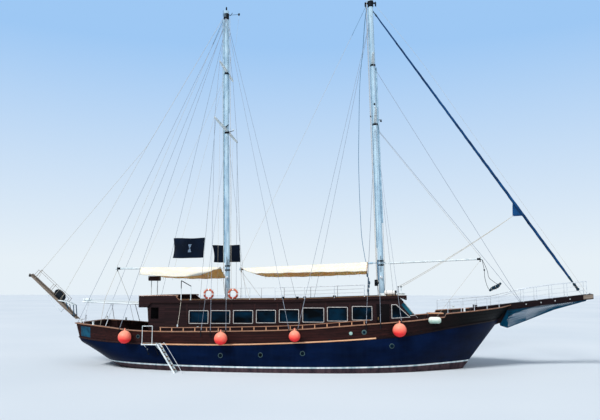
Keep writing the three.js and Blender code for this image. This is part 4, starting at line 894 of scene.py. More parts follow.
def window_frames():
    helm_side = [(5.68, 3.09), (6.79, 3.165), (5.965, 3.92), (5.68, 3.92)]
    pane = [(6.25, 3.9), (6.42, 4.04), (6.93, 3.4), (6.76, 3.3)]
    for name, side in SIDES.items():
        y = side * 2.312
        parts = Parts(frame_bar(box_outline(*w), y, 0.034, 0.014) for w in WINDOWS)
        parts.add(frame_bar(helm_side, side * 2.3, 0.036, 0.022, 0.03))
        # The screen's side pane, between a dark bar and a white edge
        y0, y1 = side * 2.3005, side * 2.314
        parts.add(skin([[(x, yy, z) for x, z in pane] for yy in (y0, y1)]), 1)
        for a, b, r, look in (((6.4, 4.08), (6.95, 3.39), 0.02, 0), ((6.74, 3.26), (7.04, 3.3), 0.022, 0),
                              ((6.2, 3.87), (6.7, 3.27), 0.026, 2)):
            parts.add(tube([(x, y1, z) for x, z in (a, b)], r, 6), look)
        piece("window_frames_" + name, parts, [FRAME_WHITE, SCREEN, JOINERY], angle=30)
        # Joinery round them: stiles, two rails below and a moulding under the roof
        trim = Parts()
        for x in [-6.72] + [(a[1] + b[0]) / 2 for a, b in zip(WINDOWS, WINDOWS[1:])] + [4.675]:
            sill, top = 2.62 + (x + 6.7) * 0.026, 3.93 if x > 3 else roof_top(x) - 0.2
            trim.add(block(x - 0.045, x + 0.045, y - side * 0.014, y + side * 0.004, sill, top))
        for lift, out, high in ((0.0, 0.03, 0.05), (-0.3, 0.018, 0.03)):

            def rail(x):
                z = 2.55 + (x + 8.1) * 0.026 + lift
                return [(side * 2.299, z), (side * (2.3 + out), z + 0.008),
                        (side * (2.3 + out), z + high - 0.008), (side * 2.299, z + high)]

            # The rails end at the side door
            trim.add(swept(span(-8.1, 7.0, 24)[:20], rail))

        def moulding(x):
            z = roof_top(x) - 0.2
            return [(side * 2.299, z), (side * 2.325, z + 0.01), (side * 2.34, z + 0.085),
                    (side * 2.299, z + 0.088)]

        trim.add(swept(span(-9.0, 6.1, 24), moulding))
        piece("house_trim_" + name, trim, [JOINERY], bevel=0.004)


def windscreen_frames():
    foot, top = Vector((7.27, 0, 3.05)), Vector((6.19, 0, roof_top(6.19) - 0.11))
    run = top - foot
    up = run.normalized()
    out = Vector((up.z, 0, -up.x))
    parts = Parts()
    for y0, y1 in ((-2.08, -0.76), (-0.64, 0.64), (0.76, 2.08)):
        outline = box_outline(y0 - 0.05, y1 + 0.05, 0.05 * run.length, 0.93 * run.length)
        verts, faces = frame_bar(outline, 1.0, 0.065, 0.02, 0.05)
        parts.add(([foot + up * z + ACROSS * x + out * (y - 0.999) for x, y, z in verts], faces))
    # Wipers
    for y in (-1.42, 0.0, 1.42):
        low = foot + run * 0.1 + out * 0.03 + ACROSS * y
        high = foot + run * 0.62 + out * 0.028 + ACROSS * (y + 0.32)
        parts.add(tube([low, high], 0.008, 6), 1)
        parts.add(tube([high - ACROSS * 0.1 - run * 0.22, high + ACROSS * 0.1 + run * 0.1], 0.01, 6), 1)
        parts.add(lathe(low - out * 0.03, low + out * 0.012, [(0, 0.03), (1, 0.024)], 12), 1)
    piece("windscreen_frames", parts, [FRAME_WHITE, BLACK_PAINT], angle=30)


def roof_dress():
    # Laid boards on top
    boards = Parts()
    y, wide, pitch = -2.3, 0.145, 0.151
    while y < 2.25:
        corners = [(y, 0.0005), (y + wide, 0.0005), (y + wide, 0.012), (y, 0.012)]
        boards.add(swept((-9.6, -7, -3, 0, 3, 6.5), lambda x: [(yy, roof_top(x) + up) for yy, up in corners]))
        y += pitch
    piece("roof_boards", boards, [TEAK], bevel=0.002)
    collars = Parts()
    for mast, high in ((FOREMAST, 4.4), (MAINMAST, 4.2)):
        x = mast_x(mast, high)
        z = roof_top(x)
        r = mast_r(mast, z)
        flare = [(0, r + 0.12), (0.1, r + 0.12), (0.25, r + 0.06), (0.8, r + 0.03), (1, r + 0.004)]
        collars.add(post(x, 0, z + 0.013, z + 0.17, flare, 24))
    piece("mast_coats", collars, [WHITE_CLOTH])
    # Mouldings along the roof's edge and the after coaming
    trim = Parts()
    edge = [(2.4195, -0.03), (2.436, -0.024), (2.436, 0.002), (2.405, 0.018), (2.39, 0.002)]
    cap = [(-9.76, 4.39), (-7.45, 4.42), (-7.38, 4.33), (-7.25, 4.2), (-7.17, 4.145)]
    for side in SIDES.values():
        for x0, lift in ((-7.3, 0.0), (-9.7, -0.1)):
            trim.add(swept(span(x0, 6.56, 20),
                           lambda x: [(side * y, roof_top(x) + lift + up) for y, up in edge]))
        trim.add(tube(curve_through([(x, side * 2.393, z + 0.006) for x, z in cap], 5), 0.026, 8), 1)
    trim.add(tube([(-9.735, -2.4, 4.392), (-9.735, 2.4, 4.392)], 0.024, 8), 1)
    trim.add(tube([(6.575, -2.41, 4.425), (6.575, 2.41, 4.425)], 0.022, 8))
    piece("roof_mouldings", trim, [JOINERY, VARNISH])


def roof_rail():
    half, up = 2.15, 0.72
    posts = [-1.3, 0.5, 2.3, 4.1]
    parts = Parts()
    for side in SIDES.values():
        parts.add(tube([(x, side * half, roof_top(x) + up) for x in posts], 0.02, 10))
        for mid in (0.25, 0.48):
            parts.add(tube([(x, side * half, roof_top(x) + mid) for x in posts], 0.006, 6))
        for x in posts:
            z = roof_top(x)
            parts.add(post(x, side * half, z + 0.001, z + up,
                           [(0, 0.045), (0.03, 0.045), (0.05, 0.018), (1, 0.016)], 10))
    x = posts[0]
    parts.add(tube([(x, -half, roof_top(x) + up), (x, half, roof_top(x) + up)], 0.02, 10))
    piece("roof_rail_tubes", parts, [STEEL], replaces=["roof_rail"])
    # A guard wire on posts carries the rail's line on to the mainmast
    wires = Parts()
    for side in SIDES.values():
        line = [(x, side * half, roof_top(x) + up - 0.02) for x in (-1.32, -2.85, -4.3)]
        wires.add(tube(line, 0.009, 6))
        for x in (-2.85, -4.3):
            z = roof_top(x)
            wires.add(post(x, side * half, z + 0.001, z + up,
                           [(0, 0.04), (0.03, 0.04), (0.05, 0.015), (1, 0.013)], 8))
    piece("roof_guard_wires", wires, [STEEL])


def roof_gear():
    """What stands on the roof: locker, raft canister, searchlight, ventilators, ladder rail's sleeves"""
    z, locker_z = roof_top(5.9) + 0.013, roof_top(6.3)
    parts = Parts([block(6.1, 6.5, -1.9, -1.4, locker_z + 0.013, locker_z + 0.12)])
    parts.add(block(6.05, 6.56, -1.94, -1.36, locker_z + 0.12, locker_z + 0.15))
    parts.add(post(6.3, -1.65, locker_z + 0.15, locker_z + 0.45,
                   [(0, 0.07), (0.06, 0.07), (0.1, 0.03), (1, 0.03)], 12))
    canister = [(0, 0.0), (0.03, 0.1), (0.1, 0.14), (0.44, 0.145), (0.45, 0.152), (0.49, 0.152),
                (0.5, 0.145), (0.9, 0.14), (0.97, 0.1), (1, 0.0)]
    parts.add(lathe((5.28, -1.75, z + 0.17), (5.94, -1.75, z + 0.17), canister, 20), 1)
    for x in (5.4, 5.76):
        parts.add(block(x, x + 0.05, -1.9, -1.6, z - 0.03, z + 0.05), 2)
        band = hoop((x + 0.025, -1.75, z + 0.17), (0, 0.15, 0), (0, 0, 0.15), 24)
        parts.add(tube(band, 0.008, 6, True), 2)
    parts.add(post(5.98, -1.35, z, z + 0.16, [(0, 0.06), (0.1, 0.03), (1, 0.03)], 12), 3)
    lamp = [(0, 0.03), (0.3, 0.08), (0.9, 0.09), (0.92, 0.08), (1, 0.0)]
    parts.add(lathe((5.9, -1.35, z + 0.22), (6.06, -1.35, z + 0.22), lamp, 16), 3)
    for x in (-0.88, 0.01, 0.46, 2.27):
        low = roof_top(x) + 0.012
        parts.add(post(x, -1.6, low, low + 0.15,
                       [(0, 0.06), (0.4, 0.06), (0.5, 0.09), (0.9, 0.085), (1, 0.03)], 14), 3)
    piece("roof_gear", parts, [WHITE, CORK, BLACK_PAINT, BLACK_PAINT], bevel=0.006)
    sleeves = Parts()
    for x, up in ((-7.11, 0.72), (-6.5, 0.84)):
        base = roof_top(x)
        sleeves.add(post(x, -2.29, base + 0.001, base + up,
                         [(0, 0.05), (0.04, 0.05), (0.06, 0.028), (1, 0.026)], 12))
    high, low = (-7.11, -2.29, roof_top(-7.11) + 1.2), (-6.5, -2.29, roof_top(-6.5) + 0.86)
    sleeves.add(tube([high, low], 0.026, 10), 1)
    sleeves.add(tube([(-7.11, -2.29, roof_top(-7.11) + 0.72), high], 0.026, 10), 1)
    piece("ladder_rail_sleeves", sleeves, [WHITE, BLACK_PAINT])


def roof_box():
    x, y, z = -9.26, -1.0, 5.48
    rings = []
    for a, grow in ((-0.35, -0.03), (-0.34, 0), (0.34, 0), (0.35, -0.03)):
        section = [(0.15, -0.15), (0.21, -0.09), (0.21, 0.1), (0.195, 0.15), (-0.195, 0.15), (-0.21, 0.1),
                   (-0.21, -0.09), (-0.15, -0.15)]
        rings.append([(x + a, y + b * (1 + grow), z + c * (1 + grow)) for b, c in section])
    parts = Parts([skin(rings)])
    parts.add(block(x - 0.352, x + 0.352, y - 0.212, y + 0.212, z + 0.09, z + 0.105), 1)
    for px in (x - 0.2, x + 0.2):
        parts.add(post(px, y, roof_top(px) + 0.001, z - 0.14,
                       [(0, 0.06), (0.02, 0.06), (0.03, 0.026), (1, 0.026)], 12), 2)
    piece("roof_box_case", parts, [JOINERY, BLACK_PAINT, WHITE], replaces=["roof_box"],
          bevel=0.006)


def door_trim():
    low = deck_top(5.57) + 0.066
    for name, side in SIDES.items():
        y = side * 2.3
        parts = Parts()
        y0, y1 = sorted((y, y + side * 0.004))
        for z0, z1 in ((low + 0.1, low + 0.48), (low + 0.56, low + 0.95)):
            parts.add(frame_bar(box_outline(4.94, 5.43, z0, z1), y, 0.03, 0.003, 0.01))
        parts.add(block(4.87, 4.93, y0, y1, low + 0.86, low + 1.02), 1)
        inner = y - side * 0.04
        parts.add(pin(4.9, inner, inner - side * 0.06, low + 0.94,
                      [(0, 0.012), (0.6, 0.012), (0.7, 0.028), (1, 0.02)], 12), 1)
        piece("door_trim_" + name, parts, [DARK_JOINERY, BRONZE], "side_door_" + name)


def lobby_locker():
    """A tall locker in the lobby, clear of the doorway and of the side opening. Its near-black is painted
    shade
    """
    low, high = deck_top(-9.0) + 0.001, 3.74
    x0, x1, y0, y1 = -9.38, -8.62, -1.6, -0.6
    parts = Parts([block(x0, x1, y0, y1, low, high)])
    for z0, z1 in ((low + 0.12, low + 0.95), (low + 1.07, high - 0.1)):
        parts.add(frame_bar(box_outline(x0 + 0.07, x1 - 0.07, z0, z1), y0 + 0.0005, 0.05, 0.012, 0.01))
    parts.add(pin(-8.74, y0, y0 - 0.04, 2.75, [(0, 0.012), (0.6, 0.012), (0.7, 0.025), (1, 0.02)], 12), 1)
    piece("lobby_locker", parts, [DARK_JOINERY, BRONZE], bevel=0.003)


def helm():
    z = deck_top(6.65)
    parts = Parts()
    for t in turns(8):
        a = Vector((6.265, 0.31 * math.sin(t), z + 0.86 + 0.31 * math.cos(t)))
        b = Vector((6.265, 0.42 * math.sin(t), z + 0.86 + 0.42 * math.cos(t)))
        parts.add(lathe(a, b, [(0, 0.015), (0.2, 0.022), (0.6, 0.018), (0.9, 0.024), (1, 0.006)], 10))
    parts.add(lathe((6.2, 0, z + 0.86), (6.35, 0, z + 0.86),
                    [(0, 0.03), (0.1, 0.055), (0.4, 0.06), (1, 0.05)], 16), 1)
    piece("wheel_handles", parts, [VARNISH, BRONZE], "helm_wheel")
    gauges = Parts()
    for y in (-0.38, -0.2, 0.2, 0.38):
        centre = Vector((6.379, y, z + 0.88))
        out = Vector((-0.87, 0, 0.49))
        gauges.add(lathe(centre, centre + out * 0.016, [(0, 0.06), (0.7, 0.06), (0.8, 0.05), (1, 0.0)], 18))
    gauges.add(post(6.55, 0.3, z + 1.02, z + 1.15, [(0, 0.09), (0.3, 0.1), (0.8, 0.08), (1, 0.0)], 18))
    piece("helm_gauges", gauges, [BRONZE])


def hatch_trim():
    parts = Parts()
    z = 3.345
    for y in (-0.36, -0.12, 0.12, 0.36):
        parts.add(block(8.0, 8.9, y - 0.115, y + 0.115, z + 0.0005, z + 0.008))
    parts.add(pin(8.12, -0.06, 0.06, z + 0.03, [(0, 0.01), (1, 0.01)], 10), 1)
    for y in (-0.06, 0.06):
        parts.add(post(8.12, y, z + 0.005, z + 0.035, [(0, 0.016), (1, 0.011)], 10), 1)
    piece("hatch_lid_boards", parts, [WALE, BRONZE], "hatch_lid", bevel=0.003)


def mast_fittings(name, mast, spreaders, boom_z, band, track, conduit):
    """band: z of the dark band at the head; track and conduit: radius, lowest z, highest z"""
    parts = Parts()

    def collar(z, high, out):
        x, r = mast_x(mast, z), mast_r(mast, z)
        profile = [(0, r + 0.002), (0.1, r + out), (0.9, r + out), (1, r + 0.002)]
        parts.add(post(x, 0, z - high, z + high, profile, 20))

    for z, half in spreaders:
        collar(z - 0.15, 0.07, 0.015)
        for side in SIDES.values():
            profile = [(0, 0.1), (0.1, 0.095), (0.5, 0.085), (0.9, 0.068), (1, 0.055)]
            parts.add(pin(mast_x(mast, z), side * (mast_r(mast, z) + 0.01), side * (half - 0.015), z,
                          profile, 12), 1)
    collar(2.6, 0.03, 0.008)
    for dz in (-0.13, 0.13):
        collar(boom_z + dz, 0.045, 0.02)
    # Head: a dark band with tangs round it
    low, high = band
    collar((low + high) / 2, (high - low) / 2, 0.045)
    r = mast_r(mast, high) + 0.06
    for t in range(4):
        turn = math.pi / 4 + t * math.pi / 2
        x, y = mast_x(mast, high) + r * math.cos(turn), r * math.sin(turn)
        parts.add(block(x - 0.025, x + 0.025, y - 0.025, y + 0.025, low + 0.06, high - 0.06))
    # A sail track up the after side and a conduit up the fore side, winches and coils at the foot
    for side, (r, z0, z1) in ((-1, track), (1, conduit)):
        line = [(mast_x(mast, z) + side * (mast_r(mast, z) + r * 0.8), 0, z) for z in span(z0, z1, 5)]
        parts.add(tube(line, r, 8), 4)
    z = 5.55
    x, r = mast_x(mast, z), mast_r(mast, z)
    winch = [(0, 0.09), (0.12, 0.09), (0.2, 0.06), (0.75, 0.05), (0.86, 0.075), (1, 0.07)]
    for side in SIDES.values():
        parts.add(pin(x, side * (r - 0.01), side * (r + 0.17), z, winch, 16), 2)
        parts.add(tube([(x - 0.02, side * (r + 0.03), zz) for zz in (6.9, 5.9)], 0.014, 6), 3)
        coil = [(x + 0.1 + 0.06 * math.sin(t), side * (r + 0.04 + 0.012 * (k % 3)), 6.5 + 0.2 * math.cos(t))
                for k, t in enumerate(2 * math.pi * j / 16 for j in range(48))]
        parts.add(tube(coil, 0.011, 5), 3)
    piece(name, parts, [BLACK_PAINT, WHITE, STEEL, DARK_ROPE, TRACK_SHADE], bevel=0.003)


def mast_heads():
    x = mast_x(MAINMAST, 23.7)
    lamp = [(0, 0.03), (0.2, 0.05), (0.8, 0.05), (1, 0.02)]
    parts = [tube([(x, 0, 23.64), (x, 0, 23.95)], 0.014, 8), post(x, 0, 23.75, 24.0, lamp, 12),
             tube([(x, 0, 23.4), (x + 0.9, 0, 23.42)], 0.012, 6),
             block(x + 0.82, x + 0.94, -0.01, 0.01, 23.34, 23.5),
             tube([(x + 0.1, 0, 23.56), (x + 0.27, 0, 23.35), (x + 0.42, 0, 23.55)], 0.02, 6),
             tube([(x - 0.25, 0.1, 23.4), (x - 0.25, 0.1, 23.8)], 0.012, 6),
             tube([(x - 0.25, 0.1, 23.42), (x, 0.05, 23.42)], 0.012, 6)]
    piece("masthead_gear", parts, [BLACK_PAINT])
    x = mast_x(FOREMAST, 23.8)
    head = [block(x - 0.37, x + 0.37, -0.04, 0.04, 23.74, 23.82)]
    head += [post(px, 0, 23.54, 23.88, lamp, 12) for px in (x - 0.34, x + 0.34)]
    piece("foremast_head_gear", head, [BLACK_PAINT])


def bottlescrew(foot, head, start=0.1, end=0.55):
    along = (Vector(head) - Vector(foot)).normalized()
    profile = [(0, 0.01), (0.1, 0.02), (0.2, 0.014), (0.8, 0.014), (0.9, 0.02), (1, 0.01)]
    return lathe(Vector(foot) + along * start, Vector(foot) + along * end, profile, 10)


def wire_feet():
    """Bottlescrews and plates where the wires meet the rail and the transom, on both sides"""
    fore_tip, main_tip = (mast_x(FOREMAST, 15.6), 3.2, 15.6), (mast_x(MAINMAST, 15.3), 3.4, 15.3)
    fore_low, main_low = (mast_x(FOREMAST, 15.2), 0.16, 15.1), (mast_x(MAINMAST, 14.9), 0.15, 14.9)
    fore_high, main_high = (mast_x(FOREMAST, 22.9), 0, 22.9), (mast_x(MAINMAST, 23.05), 0.17, 23.05)
    parts = Parts()
    for x, head in ((5.0, fore_tip), (-4.9, main_tip), (0.25, fore_high), (-0.25, main_high),
                    (-10.6, main_high), (6.2, fore_low), (4.18, fore_low), (-5.47, main_low),
                    (-3.97, main_low)):
        half, z = cap_at(x)
        start = 1.25 if abs(x) < 1 else 0.1
        parts.add(bottlescrew((x, half + 0.035, z - 0.03), head, start, start + 0.45))
        parts.add(block(x - 0.025, x + 0.025, half + 0.072, half + 0.08, z - 0.32, z + 0.02), 1)
    z = cap_at(-13.79)[1]
    parts.add(bottlescrew((-13.8, 2.05, z - 0.03), main_high))
    parts.add(block(-13.85, -13.75, 1.98, 2.12, z + 0.0005, z + 0.012))
    piece("turnbuckles", both(parts), [WIRE, BLACK_PAINT])


# Cloth

def cloth_sheet(name, grid, thick, looks, body="boat", replaces=(),
                marks=None):
    """A closed sheet. grid: rows of points; it gets its thickness along the points' normals"""
    rows, cols = len(grid), len(grid[0])
    at = [[Vector(p) for p in row] for row in grid]
    front, back = [], []
    for i in range(rows):
        for k in range(cols):
            u = at[min(i + 1, rows - 1)][k] - at[max(i - 1, 0)][k]
            v = at[i][min(k + 1, cols - 1)] - at[i][max(k - 1, 0)]
            out = u.cross(v).normalized() * thick * 0.5
            front.append(at[i][k] + out)
            back.append(at[i][k] - out)
    half = rows * cols
    corners = [i * cols + k for i in range(rows - 1) for k in range(cols - 1)]
    top = [(a, a + cols, a + cols + 1, a + 1) for a in corners]
    under = [(half + a, half + a + 1, half + a + cols + 1, half + a + cols) for a in corners]
    edge = list(range(cols)) + [i * cols + cols - 1 for i in range(1, rows)]
    edge += [(rows - 1) * cols + k for k in range(cols - 2, -1, -1)] + [i * cols
            for i in range(rows - 2, 0, -1)]
    rim = [(a, b, half + b, half + a) for a, b in zip(edge, edge[1:] + edge[:1])]
    slots = [0] * len(top) + [1] * len(under) + [0] * len(rim)
    if marks:
        for n in range(len(top)):
            if marks((n // (cols - 1) + 0.5) / (rows - 1), (n % (cols - 1) + 0.5) / (cols - 1)):
                slots[n] = slots[len(top) + n] = 2
    made = new_object(name, front + back, top + under + rim, looks, slots, 60)
    mount(made, body, replaces)


def between(rows, t):
    """A smooth row of a table, t from 0 to 1"""
    place = t * (len(rows) - 1)
    i = min(int(place), len(rows) - 2)
    near = rows[max(i - 1, 0)], rows[i], rows[i + 1], rows[min(i + 2, len(rows) - 1)]
    return [catmull(*values, place - i) for values in zip(*near)]


# Columns: x over the boom, x at the edge, half breadth, z of the edge to starboard, z to port
MAIN_AWNING = [
    (-10.66, -9.79, 2.3, 5.72, 5.6), (-9.0, -8.7, 2.32, 5.64, 5.54), (-7.3, -7.25, 2.32, 5.575, 5.5),
    (-6.0, -5.95, 2.25, 5.68, 5.52), (-5.2, -5.2, 1.9, 6.0, 5.54),
]
FORE_AWNING = [
    (-3.84, -2.6, 2.3, 5.77, 5.62), (-1.5, -1.2, 2.33, 5.78, 5.62), (1.0, 1.0, 2.35, 5.83, 5.66),
    (2.9, 2.9, 2.33, 5.86, 5.74), (4.35, 4.3, 2.25, 5.89, 5.8),
]
MAIN_BOOM = {"z": 6.16, "end": (-12.27, 0, 6.15), "r": 0.065}
FORE_BOOM = {"z": 6.45, "end": (-3.95, 0, 6.085), "r": 0.065}
DERRICK = {"z": 6.43, "end": (11.43, 0, 6.68), "r": 0.055}


def boom_pin(spec, mast, ahead):
    return mast_x(mast, spec["z"]) + ahead * (mast_r(mast, spec["z"]) + 0.07)


def boom_z(spec, mast, x):
    start = boom_pin(spec, mast, -1) - 0.26
    return spec["z"] + (spec["end"][2] - spec["z"]) * (x - start) / (spec["end"][0] - start)


def boom_awning(name, table, spec, mast, body, seed):
    """Cloth over the boom, pulled out to lacing points along both edges"""
    noise = random.Random(seed)
    phases = [noise.uniform(0, 6.28) for _ in range(6)]
    along, across = 96, 44
    lacings = round(abs(table[-1][1] - table[0][1]) / 0.78)
    grid = []
    for t in span(0, 1, along):
        ridge_x, edge_x, half, right_z, left_z = between(table, t)
        ridge = boom_z(spec, mast, ridge_x) + spec["r"] + 0.009
        pull = abs(math.sin(math.pi * lacings * t)) ** 0.8
        row = []
        for v in span(-1, 1, across):
            reach = abs(v)
            x = ridge_x + (edge_x - ridge_x) * reach
            if t < 0.02 or t > 0.98:
                x += (0.05 if t < 0.5 else -0.05) * math.sin(math.pi * 5 * reach) ** 2
            z = ridge + ((right_z if v < 0 else left_z) - ridge) * reach - 0.06 * math.sin(math.pi * reach)
            z += 0.008 * reach ** 3 * math.cos(2 * math.pi * lacings * t)
            z += 0.010 * math.sin(9 * t + 3 * v + phases[0]) * math.sin(math.pi * reach)
            z += 0.006 * math.sin(31 * t - 5 * v + phases[1]) * reach
            row.append((x, v * (half - 0.03 * pull * reach ** 5), z if reach > 0.03 else ridge))
        grid.append(row)
    # The underside carries the painted glow; the rows at the forward end carry the painted shade of the
    # inside
    cloth_sheet(name, grid, 0.008, [AWNING, UNDER_GLOW_TINT, HEM_SHADE_TINT], body,
                [body.replace("boom", "awning")], lambda a, b: a > 0.976)
    # Bolt rope, eyelets and lashings to the boom
    ropes = Parts(tube([row[k] for row in grid], 0.011, 6) for k in (0, across))
    for i in (0, along):
        ropes.add(tube([Vector(p) - UP * 0.002 for p in grid[i]], 0.011, 6))
    for n in range(lacings + 1):
        i = round(n * along / lacings)
        for k, side in ((0, -1), (across, 1)):
            p = Vector(grid[i][k])
            eye = p - ACROSS * side * 0.05
            ropes.add(lathe(eye + UP * 0.006, eye - UP * 0.008, disc(0.022), 10), 1)
            droop = p + Vector((0, side * 0.012, -0.14 - 0.08 * noise.random()))
            ropes.add(tube([p, p + Vector((0, side * 0.01, -0.05)), droop], 0.005, 5))
    r = spec["r"] + 0.0065
    for x in span(table[0][0], table[-1][0], 9)[1:-1]:
        z = boom_z(spec, mast, x)
        low = [p for p in hoop((x, 0, z), (0, r, 0), (0, 0, r), 14) if p[2] < z + r * 0.55]
        low.sort(key=lambda p: math.atan2(p[1], -(p[2] - z)))
        ropes.add(tube(low, 0.005, 5))
    piece(name + "_ropes", ropes, [ROPE, STEEL], body)


def stern_awning():
    x0, x1, half, z0, z1 = -13.6, -9.74, 1.85, 4.06, 3.93
    grid = []
    for t in span(0, 1, 48):
        x = x0 + (x1 - 0.002 - x0) * t
        middle = z0 + (z1 - z0) * t - 0.02 * math.sin(math.pi * t)
        row = []
        for v in span(-1, 1, 32):
            z = middle - 0.012 + 0.03 * (1 - v * v) - 0.02 * abs(math.sin(math.pi * 3 * t)) * (1
                    - abs(v) ** 6)
            row.append((x, v * half, z + 0.004 * math.sin(17 * t + 8 * v)))
        grid.append(row)
    cloth_sheet("stern_awning_cloth", grid, 0.012, [WHITE_CLOTH, WHITE_CLOTH],
                "boat", ["stern_awning"])
    parts = Parts()
    for k, side in ((0, -1), (32, 1)):
        # Hem roll, and lashings down to the frame
        parts.add(tube([Vector(row[k]) - UP * 0.025 for row in grid], 0.042, 10))
        for x in span(x0 + 0.12, x1 - 0.12, 8):
            z = z0 + (z1 - z0) * (x - x0) / (x1 - x0)
            loop = hoop((x, side * (half - 0.048), z - 0.068), (0, 0.03, 0), (0, 0, 0.034), 12)
            parts.add(tube(loop, 0.005, 5, True), 1)
    parts.add(tube([Vector(p) - UP * 0.025 for p in grid[0]], 0.042, 10))
    # A rolled boat cover lashed on top, near the after corner
    roll = [(-13.68 + 0.11 * j, -1.6 + 0.02 * math.sin(j), 4.165 - 0.003 * j) for j in range(6)]
    parts.add(tube(roll, [0.05, 0.085, 0.092, 0.09, 0.083, 0.05], 12))
    for j in (1, 4):
        parts.add(tube(hoop(roll[j], (0, 0.095, 0), (0, 0, 0.095), 14), 0.006, 5, True), 2)
    piece("stern_awning_lashings", parts, [WHITE_CLOTH, ROPE, DARK_ROPE])


FLAG = {"long": 2.1, "high": 1.28, "foot": 6.66, "y": 3.1}


def flags():
    for name, side, foot_x in (("starboard", -1, -5.7), ("port", 1, -4.4)):
        rail, cap = cap_at(foot_x)
        foot = Vector((foot_x, side * (rail - RAIL_IN), cap + 0.235))
        head = Vector((mast_x(MAINMAST, 15.3), side * FLAG["y"], 15.27))
        grid = []
        for v in span(0, 1, 30):
            z = FLAG["foot"] + FLAG["high"] * (0.02 + 0.95 * v)
            hoist = foot + (head - foot) * (z - foot.z) / (head.z - foot.z)
            row = []
            for u in span(0, 1, 54):
                wave = 0.17 * u ** 0.8 * math.sin(6.6 * u + 1.3 + side * 0.9 + 0.7 * v)
                wave += 0.04 * u * math.sin(15 * u - 3 * v + side)
                droop = -0.13 * u + 0.10 * u * u + 0.03 * math.sin(7 * u + 2.0 * v) * u
                tail = 1.0 - 0.035 * math.sin(3.1 * v + 0.4) * u - 0.02
                x = hoist.x - 0.012 - (FLAG["long"] - 0.09) * u * tail
                row.append((x, hoist.y + wave, hoist.z + droop * (0.55 + 0.45 * v)))
            grid.append(row)

        def mark(a, b):
            """Two triangles tip to tip"""
            return abs(b - 0.46) < 0.008 + 0.22 * abs(a - 0.5) and abs(a - 0.5) < 0.2

        cloth_sheet("flag_cloth_" + name, grid, 0.006, [BLACK_CLOTH, BLACK_CLOTH, MARK_CLOTH],
                    "boat", ["flag_" + name],
                    mark)
        parts = Parts([tube([foot, head], 0.008, 6)])
        bottom, top = Vector(grid[0][0]), Vector(grid[-1][0])
        parts.add(tube([bottom - UP * 0.03, top + UP * 0.03], 0.014, 8), 1)
        for p in (bottom, top):
            parts.add(lathe(p - ACROSS * 0.02, p + ACROSS * 0.02, disc(0.02), 10), 1)
        cleat = foot + UP * 0.02
        parts.add(tube([cleat - Vector((0.06, 0, 0)), cleat + Vector((0.06, 0, 0))], 0.012, 6), 1)
        piece("flag_halyard_" + name, parts, [DARK_ROPE, WHITE])


def furled_jib():
    """The jib rolled round its stay, with its edge winding up it"""
    top = Vector((mast_x(FOREMAST, 23.45), 0, 23.45))
    foot = Vector((17.31, 0, beam_top(17.31)))
    profile = [(0.03, 0.042), (0.06, 0.05), (0.3, 0.075), (0.7, 0.094), (0.9, 0.088), (0.952, 0.06)]
    up = (foot - top).normalized().cross(ACROSS).normalized()

    def on_stay(share):
        return top + (foot - top) * share

    rings = []
    for t in span(0.03, 0.952, 260):
        j = max([n for n in range(len(profile) - 1) if profile[n][0] <= t])
        (ta, ra), (tb, rb) = profile[j], profile[j + 1]
        r = ra + (rb - ra) * (t - ta) / (tb - ta)
        ring = []
        for a in turns(18):
            turn = (a + t * 150) % (2 * math.pi)
            lip = 1.0 + 0.16 * (1 - turn / (2 * math.pi)) ** 3
            soft = 1 + 0.03 * math.sin(3 * a + t * 90) + 0.02 * math.sin(t * 310)
            ring.append(on_stay(t) + (ACROSS * math.cos(a) + up * math.sin(a)) * r * 0.9 * lip * soft)
        rings.append(ring)
    roll = piece("jib_roll", [skin(rings)], [BLUE_SAIL], "boat", ["furled_jib"], angle=70)
    parts = Parts()
    parts.add(tube([top, on_stay(0.05)], 0.03, 8), 1)
    parts.add(tube([on_stay(0.95), foot], 0.014, 8))
    for a, b, drum in ((0.94, 0.958, [(0, 0.05), (0.1, 0.075), (0.6, 0.066), (1, 0.05)]),
                       (0.955, 0.985, [(0, 0.05), (0.3, 0.05), (0.34, 0.1), (0.42, 0.1), (0.46, 0.066),
                                       (0.8, 0.066), (0.84, 0.1), (0.94, 0.1), (1, 0.05)]),
                       (0.022, 0.034, [(0, 0.02), (0.2, 0.05), (0.8, 0.05), (1, 0.03)])):
        parts.add(lathe(on_stay(a), on_stay(b), drum, 20), 1)
    coil = []
    for n in range(60):
        a = 2 * math.pi * n / 12
        coil.append(on_stay(0.971 + 0.006 * n / 60) + (ACROSS * math.cos(a) + up * math.sin(a)) * 0.074)
    parts.add(tube(coil, 0.008, 6), 2)
    # The clew stands out of the roll, and the sheets run from it to the roof's front corners
    head, tack, clew = Vector((13.43, 0, 10.27)), Vector((14.05, 0, 9.36)), Vector((13.38, 0, 9.34))
    grid = []
    for i in range(13):
        a, b = head + (clew - head) * i / 13, tack + (clew - tack) * i / 13
        grid.append([a + (b - a) * k / 12 + ACROSS * 0.03 * math.sin(4 * k / 12 + i / 3)
                     for k in range(13)])
    cloth_sheet("jib_clew", grid, 0.01, [BLUE_SAIL, BLUE_SAIL], "boat")
    eye = clew + Vector((0.02, 0.01, 0.02))
    parts.add(tube(hoop(eye, (0.04, 0, 0), (0, 0, 0.04), 14), 0.012, 6, True))
    for side in SIDES.values():
        end = Vector((6.3, side * 1.65, 4.94))
        parts.add(tube(sagging(clew + Vector((-0.02, side * 0.02, -0.02)), end, 0.12, 20), 0.014, 6), 3)
        parts.add(lathe(end - UP * 0.035, end + UP * 0.05, [(0, 0.05), (0.5, 0.04), (1, 0.05)], 12), 1)
    foot = Vector((6.3, 1.65, roof_top(6.3) + 0.0125))
    parts.add(lathe(foot, foot + UP * 0.45, [(0, 0.07), (0.06, 0.07), (0.1, 0.035), (1, 0.035)], 12))
    piece("jib_furler", parts, [STEEL, DARK_SAIL, DARK_ROPE, ROPE])


# Fenders and lifebuoys. Columns: x, z, radius
FENDERS = [(-10.07, 2.01, 0.39), (-4.18, 2.0, 0.38), (0.11, 2.17, 0.33), (6.06, 2.53, 0.395)]


